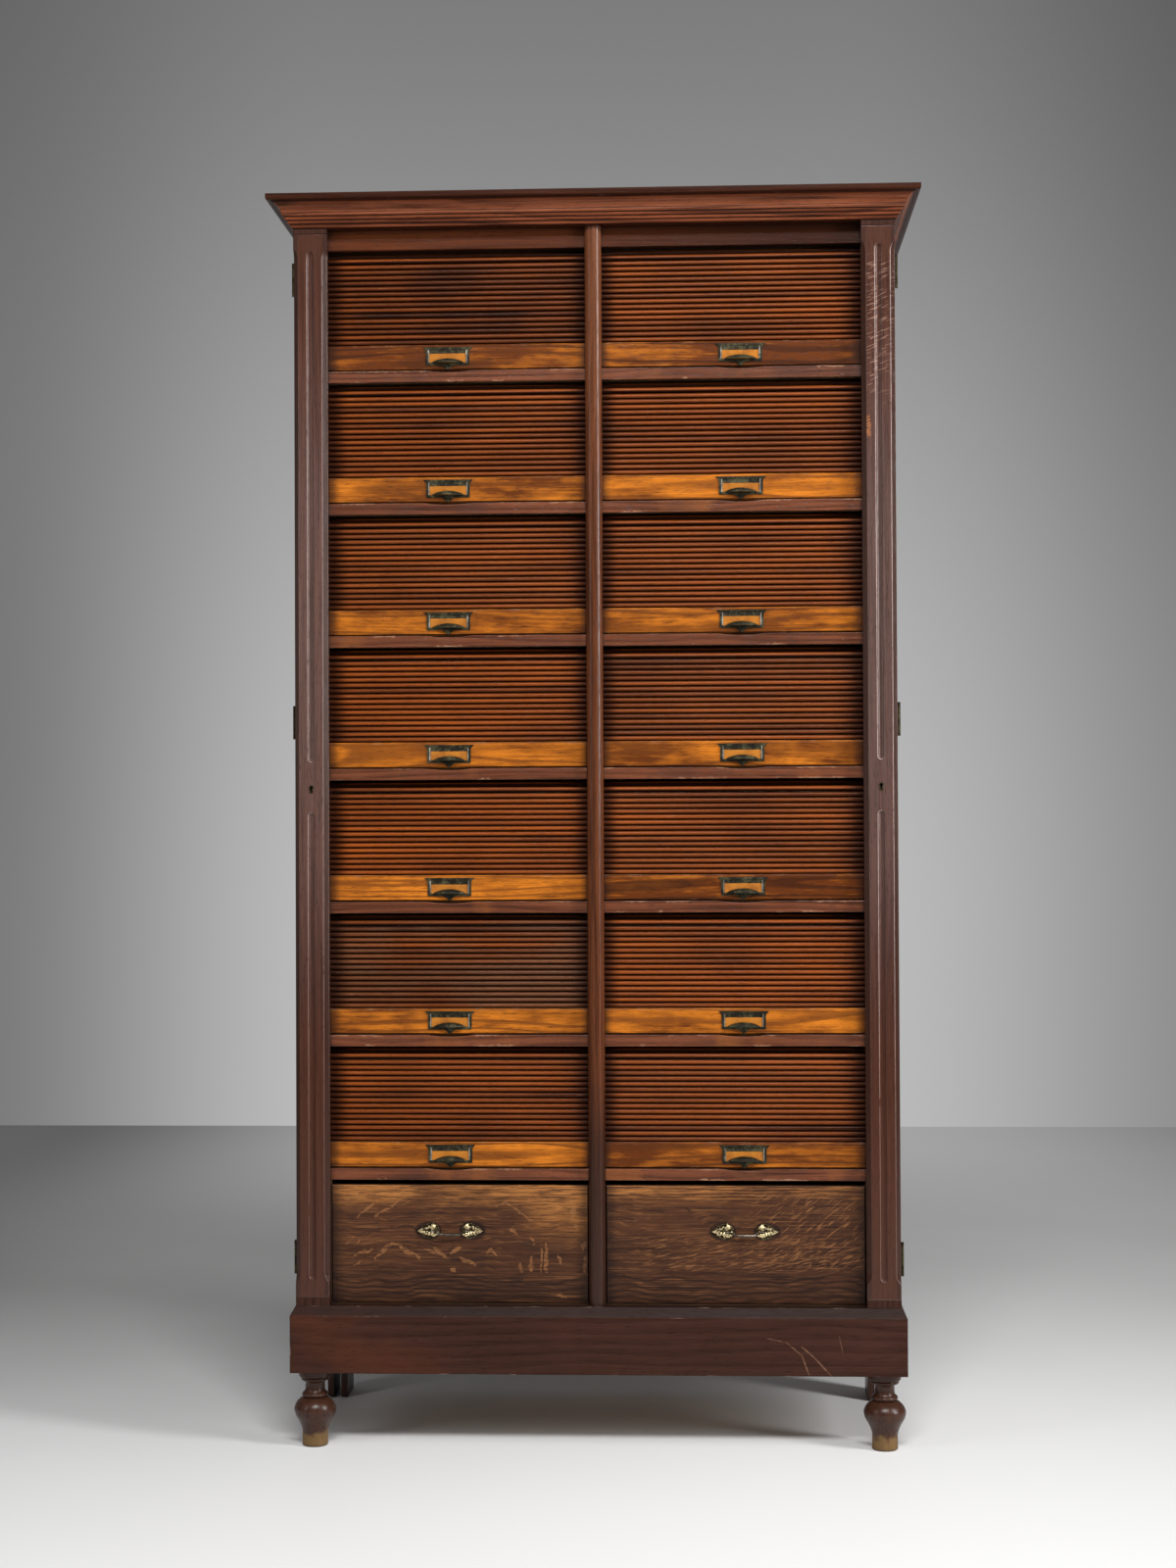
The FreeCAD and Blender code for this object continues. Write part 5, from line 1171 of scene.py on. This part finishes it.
def label_pull(side, row, sizes, materials):
    """The cast label frame: flared ears, window, pointed drop with a ball, finger cup, bright card lips."""
    cx, face, foot = pull_place(side, row, sizes)
    half, tall, ear = sizes.pull_width / 2, sizes.pull_height, sizes.pull_ear
    drop, thick = sizes.pull_drop, sizes.pull_thickness
    flare = arc((half, tall - 1.5 * ear), (half + ear, tall - 0.0009), -1.9 * ear, 6)
    flare = [(half, tall - 1.5 * ear)] + flare + [(half + ear, tall)]
    point = arc((0.0016, 0.0011 - drop), (1.35 * drop, 0.0), -2.6 * drop, 6)
    corner = [(half - 0.0015, 0.0)] + arc((half - 0.0015, 0.0), (half, 0.0015), 0.0015, 3)
    right = [(0.0016, 0.0011 - drop)] + point + corner + flare
    outline = right + [(-x, z) for x, z in right[::-1]]
    wide = sizes.window_width / 2
    sill, top = (tall - sizes.window_height) / 2, (tall + sizes.window_height) / 2
    window = [(-wide, sill), (wide, sill), (wide, top), (-wide, top)]
    shape = Shape()
    plate(shape, outline, window, thick, PLATE_EDGE,
          lambda x, z, d: (cx + x, face - thick / 2 - d, foot + z))
    edge, low, high = wide + BACKING_LAP, sill - BACKING_LAP, top + BACKING_LAP
    back = [(-edge, low), (edge, low), (edge, high), (-edge, high)]
    shape.grid([[(cx + x, face - d, foot + z) for x, z in back] for d in (0.0, BACKING)],
               closed=True, caps=True)
    reach, span = sizes.cup_reach, sizes.cup_width / 2
    radius = (span ** 2 + reach ** 2) / (2 * reach)
    axis_y, axis_z = face - thick / 2, foot + sill
    loops, turns = [], [math.pi / 2 * j / CUP_TURNS for j in range(CUP_TURNS + 1)]
    for k in range(CUP_STEPS + 1):
        u = -span + 2 * span * k / CUP_STEPS
        r = max(math.sqrt(radius ** 2 - u ** 2) - (radius - reach), 0.0)
        outer = [(r + 0.0001, a) for a in turns]
        lip = r + 0.0007 if r > 0.001 else r + 0.0001
        outer += [(lip, math.pi / 2 - 0.03), (lip, math.pi / 2)]
        inner = [(max(r - CUP_WALL, 0.00005), a) for a in turns[::-1]]
        loops.append([(cx + u, axis_y - q * math.sin(a), axis_z + CUP_RISE * q * math.cos(a))
                      for q, a in outer + inner])
    shape.grid(loops, closed=True, caps=True)
    turning(shape, DROP_BALL, (cx, face - thick / 2 - 0.0006, foot + 0.0018 - drop), (0, 0, 1), 12)
    for sign in (-1, 1):
        turning(shape, EAR_PIN, (cx + sign * (half - 0.0028), face - thick, foot + tall - 0.0035),
                (0, -1, 0), 10)
        lip_x = cx + sign * (wide - 0.0009)
        heights = [foot + sill + 0.0006 + (top - sill - 0.0012) * k / 4 for k in range(5)]
        shape.grid([[(lip_x + LIP_WIDE * c, face - thick - 0.0001 + LIP_DEEP * s, z)
                     for c, s in circle(LIP_STEPS)] for z in heights], closed=True, caps=True, kind=1)
    name = "label_pull_%s_%d" % (side, row)
    new_piece(name, shape.mesh(name + "_mesh", materials, 1e-6), shutter_body(side, row), 35.0)


def label_card(side, row, sizes, material):
    """The bare card behind the window."""
    cx, face, foot = pull_place(side, row, sizes)
    sill = (sizes.pull_height - sizes.window_height) / 2
    mark = shutter_mark(side, row)
    wide = sizes.window_width / 2 - 0.0022
    tall = sizes.window_height * (0.72 + 0.03 * wave(mark * 2.3, 0.0, 3.0))
    shape, rows = Shape(), []
    for k in range(15):
        x = -wide + 2 * wide * k / 14
        line = []
        for j in range(7):
            z = foot + sill - 0.0004 + tall * j / 6 + (0.0005 * wave(x * 160, mark, 1.0) if j == 6 else 0.0)
            line.append((cx + x, face - 0.00045 - 0.0003 * (0.5 + 0.5 * wave(x * 40, z * 60, mark)), z))
        rows.append(line + [(p[0], face - 0.00038, p[2]) for p in line[::-1]])
    shape.grid(rows, closed=True, caps=True)
    name = "label_card_%s_%d" % (side, row)
    new_piece(name, shape.mesh(name + "_mesh", [material]), shutter_body(side, row), 60.0)


def hump(away, reach):
    """A soft hump: one in its middle, and next to nothing past twice its reach."""
    return math.exp(-(away / reach) ** 2)


def leaf_relief(u, w):
    """How far the rosette stands proud at a place out from its post."""
    boss = math.hypot(u - 0.0005, w - 0.0062)
    scroll = 0.0030 * hump(boss, 0.0042) + 0.0007 * math.cos(boss * 2600.0) * hump(boss, 0.0060)
    curl = 0.0022 * hump(math.hypot(u - 0.0005, w + 0.0072), 0.0038)
    spine = -0.0062 + 0.0062 * max(min((u + 0.004) / 0.032, 1.0), 0.0) ** 1.3
    lobe = 0.0026 * hump(w - spine, 0.0034) * (0.66 + 0.34 * math.sin(u * 1250.0 + w * 520.0))
    wing = 0.0016 * hump(w - 0.0052 + 0.20 * (u - 0.010), 0.0026) * hump(u - 0.013, 0.008)
    return max(scroll, 0.0) + curl * 0.5 + lobe + wing


def rosette(shape, sizes, cx, face, z0, sign):
    """One leaf-shaped plate with scrolls and ribs, and the post that carries the bail."""
    root, waist, tip = -sizes.leaf_width / 3, sizes.leaf_width / 6, sizes.leaf_length - sizes.leaf_width / 3
    half, rim = sizes.leaf_width / 2, []
    for k in range(LEAF_STEPS):
        a = 2 * math.pi * k / LEAF_STEPS
        t = math.cos(a)
        if t <= 0:
            rim.append((waist + (waist - root) * t, half * math.sin(a)))
        else:
            rim.append((waist + (tip - waist) * t,
                        half * math.copysign(max(1 - t ** 1.45, 0.0), math.sin(a))))
    rows, lifts = [], []
    for ring, share in enumerate(LEAF_RINGS):
        line = []
        for u, w in rim:
            pu, pw = waist + (u - waist) * share, w * share
            lift = 0.0 if ring == 0 else sizes.leaf_thickness + (0.0 if ring == 1 else leaf_relief(pu, pw))
            line.append((cx + sign * pu, face - lift, z0 + pw))
            lifts.append(0.0 if ring < 3 else min(max((lift - 0.0016) / 0.0022, 0.0), 1.0))
        rows.append(line)
    shape.grid(rows, closed=True, caps=True)
    shape.value("relief", lifts)
    before = len(shape.points)
    turning(shape, POST_TURNING, (cx - sign * 0.0042, face, z0), (0, -1, 0), 20)
    shape.value("relief", [0.30] * (len(shape.points) - before))


def drawer_handle(side, sizes, plate_metal, bail_metal):
    """Two rosettes and the bail between them on one drawer."""
    node = "%s_drawer_rosettes" % side
    low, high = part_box(node)
    cx, face, z0 = (low.x + high.x) / 2, high.y, (low.z + high.z) / 2
    shape = Shape()
    for sign in (-1, 1):
        rosette(shape, sizes, cx + sign * sizes.handle_span / 2, face, z0, sign)
    plates = new_piece("rosettes_%s" % side, shape.mesh("rosettes_%s_mesh" % side, [plate_metal]),
                       side + "_drawer", 50.0)
    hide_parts(node)
    y, drop, end = face - sizes.bail_stand, sizes.bail_drop, sizes.handle_span / 2 + sizes.post_radius
    neck = sizes.handle_span / 2 - sizes.post_radius - 0.001
    flat = neck - drop
    path = [(-end, 0.0), (-neck, 0.0)] + arc((-neck, 0.0), (-neck + drop / 2, -drop / 2), -drop / 2, 6)
    path += arc(path[-1], (-neck + drop, -drop), drop / 2, 6)
    path += [(-flat + flat * k / 4, -drop - 0.0006 * math.sin(math.pi / 2 * k / 4)) for k in range(1, 5)]
    path += [(-x, z) for x, z in path[-2::-1]]
    radii = [sizes.bail_radius * (1.0 if abs(x) > flat else 1.0 + 0.12 * math.cos(x / flat * math.pi / 2))
             for x, z in path]
    bar = Shape()
    tube(bar, [(cx + x, y, z0 + z) for x, z in path], radii)
    bail = new_piece("bail_%s" % side, bar.mesh("bail_%s_mesh" % side, [bail_metal]), side + "_bail",
                     60.0)
    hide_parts(side + "_drawer_bail")


def foot_profile():
    """The turned foot, from the floor to the plinth."""
    line = [(0.0197, 0.0), (0.0212, 0.0015), (0.0212, 0.012), (0.0212, 0.025)]
    line += arc(line[-1], (0.0300, 0.046), -0.070, 6)
    line += arc(line[-1], (FOOT_REACH, 0.062), 0.0280, 6)
    line += arc(line[-1], (0.0178, 0.081), 0.02625, 8)
    line.append((0.0195, 0.081))
    line += arc(line[-1], (0.0195, 0.088), 0.00385, 8)
    line += [(0.0163, 0.092), (0.0163, 0.104)]
    line += arc(line[-1], (0.0220, 0.108), -0.008, 5)
    line += arc(line[-1], (0.0220, 0.114), 0.0033, 6)
    line += [(0.0255, 0.114), (0.0270, 0.1155), (0.0270, 0.128)]
    return line


class CABINET_OT_carcass(bpy.types.Operator):
    """Finish the sides, partition, shelves, back, top and floor"""

    bl_idname = "cabinet.carcass"
    bl_label = "Carcass"

    def execute(self, context):
        colours = context.scene.cabinet_colours
        make_groups()
        deep, bare = colours.carcass_deep, (colours.raw_deep, colours.raw_main)
        finish_nodes(oak("carcass_oak", "Z", deep, colours.carcass_main, ring_width=0.011, seed=1.0),
                     "left_side_panel", "right_side_panel", "centre_partition")
        finish_nodes(oak("shelf_oak", "X", deep, colours.shelf_main, ring_width=0.009, seed=5.0, wear=0.30,
                         raw=(-0.172, -0.163), shade=shelf_shade), "shelves")
        finish_nodes(oak("inner_oak", "X", *bare, ring_width=0.010, seed=4.0, wear=0.2, gloss=0.6),
                     "bottom_board", "carcass_top", "drawer_guides")
        finish_nodes(oak("back_oak", "Z", *bare, ring_width=0.014, seed=9.0, wear=0.2, gloss=0.65),
                     "back_boards")
        finish_nodes(oak("bead_oak", "Z", deep, colours.bead_main, ring_width=0.010, seed=6.0, wear=0.46,
                         gloss=0.24, shade=bead_shade), "centre_bead")
        return {"FINISHED"}


class CABINET_OT_crown_and_base(bpy.types.Operator):
    """Finish the cornice, frieze, plinth and rear legs"""

    bl_idname = "cabinet.crown_and_base"
    bl_label = "Crown and base"

    def execute(self, context):
        colours = context.scene.cabinet_colours
        deep, dark = colours.carcass_deep, colours.pilaster_deep
        finish_nodes(oak("crown_oak", "mitred", deep, colours.crown_main, ring_width=0.010, seed=7.0,
                         contrast=1.4, wear=0.32, sheen=0.09, grime_and_shade=0.009, shade=crown_shade), "cornice")
        finish_nodes(oak("top_oak", "mitred", deep, colours.top_main, ring_width=0.010, seed=5.0, wear=0.32,
                         sheen=0.06), "top_board")
        finish_nodes(oak("frieze_oak", "X", deep, colours.frieze_main, ring_width=0.010, seed=7.0, wear=0.30,
                         sheen=0.10, shade=frieze_shade), "frieze_rail")
        finish_nodes(oak("plinth_oak", "mitred", dark, colours.plinth_main, ring_width=0.012, seed=8.0,
                         contrast=0.6, wear=0.40, gloss=0.40, sheen=0.07, shade=plinth_shade), "plinth")
        finish_nodes(oak("leg_oak", "Z", dark, colours.plinth_main, ring_width=0.010, seed=3.0, wear=0.4),
                     "rear_legs", "plinth_blocks")
        return {"FINISHED"}


class CABINET_OT_pilasters(bpy.types.Operator):
    """Finish the pilasters, their hinges and locks"""

    bl_idname = "cabinet.pilasters"
    bl_label = "Pilasters"

    def execute(self, context):
        colours = context.scene.cabinet_colours
        # The pilasters' pale edges are wear and a painted highlight; their shade paints a grey sheen and
        # darker chamfers
        wood = oak("pilaster_oak", "Z", colours.pilaster_deep, colours.pilaster_main, ring_width=0.009,
                   seed=2.0, contrast=0.8, wear=0.68, gloss=0.20, sheen=0.27, grime_and_shade=0.008,
                   shade=pilaster_shade, rub=tuple(colours.pilaster_rub_and_highlight), faint=(0.35, 1.0))
        finish_nodes(wood, "left_pilaster", "right_pilaster")
        finish_nodes(oak("cap_oak", "Z", colours.pilaster_deep, colours.plinth_main, ring_width=0.009,
                         seed=2.0, contrast=0.8, wear=0.2, sheen=0.08), "pilaster_caps")
        brass = old_metal("hinge_brass", colours.brass_dark, colours.bronze_edge, gloss=0.5)
        finish_nodes(brass, "carcass_hinge_leaves", "left_pilaster_fittings", "right_pilaster_fittings",
                     "left_lock_bolt", "right_lock_bolt")
        return {"FINISHED"}


class CABINET_OT_roll_curtains(bpy.types.Operator):
    """Build the fourteen roll curtains"""

    bl_idname = "cabinet.roll_curtains"
    bl_label = "Roll curtains"

    def execute(self, context):
        materials = [slat_oak(), canvas_cloth()]
        for side, row in SHUTTERS:
            roll_curtain(side, row, context.scene.cabinet_sizes, materials)
        return {"FINISHED"}


class CABINET_OT_bottom_rails(bpy.types.Operator):
    """Build the bottom rails of the shutters"""

    bl_idname = "cabinet.bottom_rails"
    bl_label = "Bottom rails"

    def execute(self, context):
        material = rail_oak()
        for side, row in SHUTTERS:
            bottom_rail(side, row, context.scene.cabinet_sizes, material)
        return {"FINISHED"}


class CABINET_OT_label_pulls(bpy.types.Operator):
    """Build the label pulls and their bare cards"""

    bl_idname = "cabinet.label_pulls"
    bl_label = "Label pulls"

    def execute(self, context):
        colours = context.scene.cabinet_colours
        metals = [old_metal("label_bronze", colours.bronze, colours.bronze_edge, metallic=0.35, gloss=0.56,
                            sheen=0.22),
                  old_metal("card_lip", colours.lip_dark, colours.lip_bright, metallic=0.4, gloss=0.42)]
        paper = card_paper()
        for side, row in SHUTTERS:
            label_pull(side, row, context.scene.cabinet_sizes, metals)
            label_card(side, row, context.scene.cabinet_sizes, paper)
        return {"FINISHED"}


class CABINET_OT_drawers(bpy.types.Operator):
    """Finish the drawers and build their handles"""

    bl_idname = "cabinet.drawers"
    bl_label = "Drawers"

    def execute(self, context):
        colours = context.scene.cabinet_colours
        finish_nodes(drawer_oak("left", 4.0, left_drawer_rays), "left_drawer_front")
        finish_nodes(drawer_oak("right", 11.0, right_drawer_rays), "right_drawer_front")
        box = oak("drawer_box_oak", "Y", colours.raw_deep, colours.raw_main, ring_width=0.010, seed=6.0,
                  wear=0.2, gloss=0.6)
        finish_nodes(box, "left_drawer_box", "right_drawer_box")
        plates = old_metal("rosette_brass", colours.brass_dark, colours.brass_bright, "relief", gloss=0.34)
        bail = old_metal("bail_metal", colours.bail_dark, colours.bail_bright, metallic=0.5, gloss=0.30,
                         sheen=0.3)
        for side in SIDES:
            drawer_handle(side, context.scene.cabinet_sizes, plates, bail)
        return {"FINISHED"}


class CABINET_OT_feet(bpy.types.Operator):
    """Build the turned front feet"""

    bl_idname = "cabinet.feet"
    bl_label = "Feet"

    def execute(self, context):
        low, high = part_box("front_feet")
        shape = Shape()
        for x in (low.x + FOOT_REACH, high.x - FOOT_REACH):
            lathe(shape, foot_profile(), (x, (low.y + high.y) / 2, low.z))
        piece = new_piece("turned_feet", shape.mesh("turned_feet_mesh", [foot_oak()]), "carcass",
                          40.0)
        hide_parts("front_feet")
        return {"FINISHED"}


class CABINET_OT_stage(bpy.types.Operator):
    """Set the floor, the soft light and the camera"""

    bl_idname = "cabinet.stage"
    bl_label = "Stage"

    def execute(self, context):
        stage = context.scene.cabinet_stage
        self.floor(stage)
        self.room(context.scene, stage)
        for name, place, power, size in (("front_light", (0.4, -4.1, 4.6), stage.front_power, (2.4, 0.8)),
                                         ("right_light", (3.3, -1.75, 2.1), stage.right_power, (0.7, 2.2)),
                                         ("left_light", (-3.0, -2.4, 2.1), stage.left_power, (0.8, 2.0))):
            lamp = bpy.data.lights.new(name, "AREA")
            lamp.shape, lamp.energy, lamp.size, lamp.size_y = "RECTANGLE", power, size[0], size[1]
            light = bpy.data.objects.new(name, lamp)
            light.location = place
            aim = Vector((0.0, 0.0, 1.0)) - light.location
            light.rotation_euler = aim.to_track_quat("-Z", "Y").to_euler()
            context.scene.collection.objects.link(light)
        lens = bpy.data.cameras.new("photo_camera")
        lens.sensor_fit, lens.sensor_height, lens.lens = "VERTICAL", 36.0, stage.camera_lens
        camera = bpy.data.objects.new("photo_camera", lens)
        camera.location, camera.rotation_euler = stage.camera_place, stage.camera_turn
        context.scene.collection.objects.link(camera)
        context.scene.camera = camera
        context.scene.view_settings.view_transform = "Standard"
        return {"FINISHED"}

    def floor(self, stage):
        """A wide pale floor that ends where the photograph's wall begins, with painted light falloff and a
        painted glow.
        """
        material, tree, shader = new_material("studio_floor")
        x, y, z = tree.parts(tree.place())
        mottle = tree.noise(tree.place(), 1.5, 4.0).outputs[0]
        # Painted light: the floor is painted bright in front of the cabinet and darker far back
        depth = tree.less(tree.plus(y, tree.swing(mottle, 0.5)), tree.times(x, 0.5))
        near = tree.mix(tree.span(x, 0.0, 1.6, 0.0, 0.20), stage.floor_near_lit, stage.floor_far_shaded)
        # Painted shade: darker towards the camera and to the right
        fore = tree.times(tree.span(y, -0.9, -2.8, 1.0, 0.58), tree.span(x, 0.6, 2.4, 1.0, 0.66))
        near = tree.dim(near, fore)
        tree.feed(shader["Base Color"], tree.mix(tree.span(depth, -0.7, 2.9), near, stage.floor_far_shaded))
        # Painted glow: the far floor shines for the camera and in reflections, though it is no lamp
        glow = tree.times(tree.span(y, 0.6, 3.6, 0.0, 0.27), tree.span(x, -2.0, -0.7, 0.1, 1.0),
                          tree.span(x, 2.4, 0.7, 0.25, 1.0), tree.shown())
        tree.feed(shader["Emission Color"], tree.vector(glow, glow, glow))
        shader["Emission Strength"].default_value = 1.0
        shader["Roughness"].default_value = 0.55
        shader["Specular IOR Level"].default_value = 0.2
        mesh = bpy.data.meshes.new("studio_floor")
        reach, level = FLOOR_REACH, CAD_BOX[0][2] - FLOOR_GAP
        corners = ((-reach, -reach), (reach, -reach), (reach, WALL_LINE), (-reach, WALL_LINE))
        mesh.from_pydata([(*corner, level) for corner in corners], [], [(0, 1, 2, 3)])
        mesh.materials.append(material)
        floor = bpy.data.objects.new("studio_floor", mesh)
        bpy.context.scene.collection.objects.link(floor)

    def room(self, scene, stage):
        """Even light from all round, and a grey backdrop with painted light for the camera and for
        reflections.
        """
        world = bpy.data.worlds.new("studio_room")
        world.use_nodes = True
        world.node_tree.nodes.clear()
        tree = Tree(world.node_tree)
        across, ahead, rise = tree.parts(tree.add("TexCoord").outputs["Generated"])
        # Painted light on the backdrop: lighter low down, darker at the top and the sides
        backdrop = tree.mix(tree.span(rise, -0.05, 0.40), stage.wall_low_lit, stage.wall_high_shaded)
        fade = tree.times(tree.span(across, -0.30, -0.14, tree.span(rise, 0.0, 0.34, 0.38, 0.62), 1.0),
                          tree.span(across, 0.24, 0.05, 0.47, 1.0), tree.span(ahead, -0.2, 0.2, 0.65, 1.0))
        backdrop = tree.dim(backdrop, fade)
        sky = tree.add("Background", {"Color": tree.mix(tree.shown(), stage.room_light, backdrop)})
        tree.feed(tree.add("OutputWorld").inputs["Surface"], sky.outputs[0])
        scene.world = world


class CABINET_PT_pieces(bpy.types.Panel):
    """The pieces of the cabinet"""

    bl_idname = "CABINET_PT_pieces"
    bl_label = "Filing cabinet"
    bl_space_type = "VIEW_3D"
    bl_region_type = "UI"
    bl_category = "Cabinet"

    def draw(self, context):
        for step in STEPS:
            self.layout.operator(step.bl_idname)


STEPS = (CABINET_OT_carcass, CABINET_OT_crown_and_base, CABINET_OT_pilasters, CABINET_OT_roll_curtains,
         CABINET_OT_bottom_rails, CABINET_OT_label_pulls, CABINET_OT_drawers, CABINET_OT_feet,
         CABINET_OT_stage)
GROUPS = {"cabinet_sizes": CabinetSizes, "cabinet_colours": CabinetColours, "cabinet_stage": CabinetStage}


def register():
    """Make the properties, operators and panel known."""
    for group in GROUPS.values():
        bpy.utils.register_class(group)
    for name, group in GROUPS.items():
        setattr(bpy.types.Scene, name, bpy.props.PointerProperty(type=group))
    for step in STEPS + (CABINET_PT_pieces,):
        bpy.utils.register_class(step)


def unregister():
    """Take them away again."""
    for step in (CABINET_PT_pieces,) + STEPS[::-1]:
        bpy.utils.unregister_class(step)
    for name, group in GROUPS.items():
        delattr(bpy.types.Scene, name)
        bpy.utils.unregister_class(group)


def main():
    """Dress the cabinet and set its stage."""
    register()
    for step in STEPS:
        space, name = step.bl_idname.split(".")
        getattr(getattr(bpy.ops, space), name)()
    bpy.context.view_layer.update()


if __name__ == "__main__":
    main()
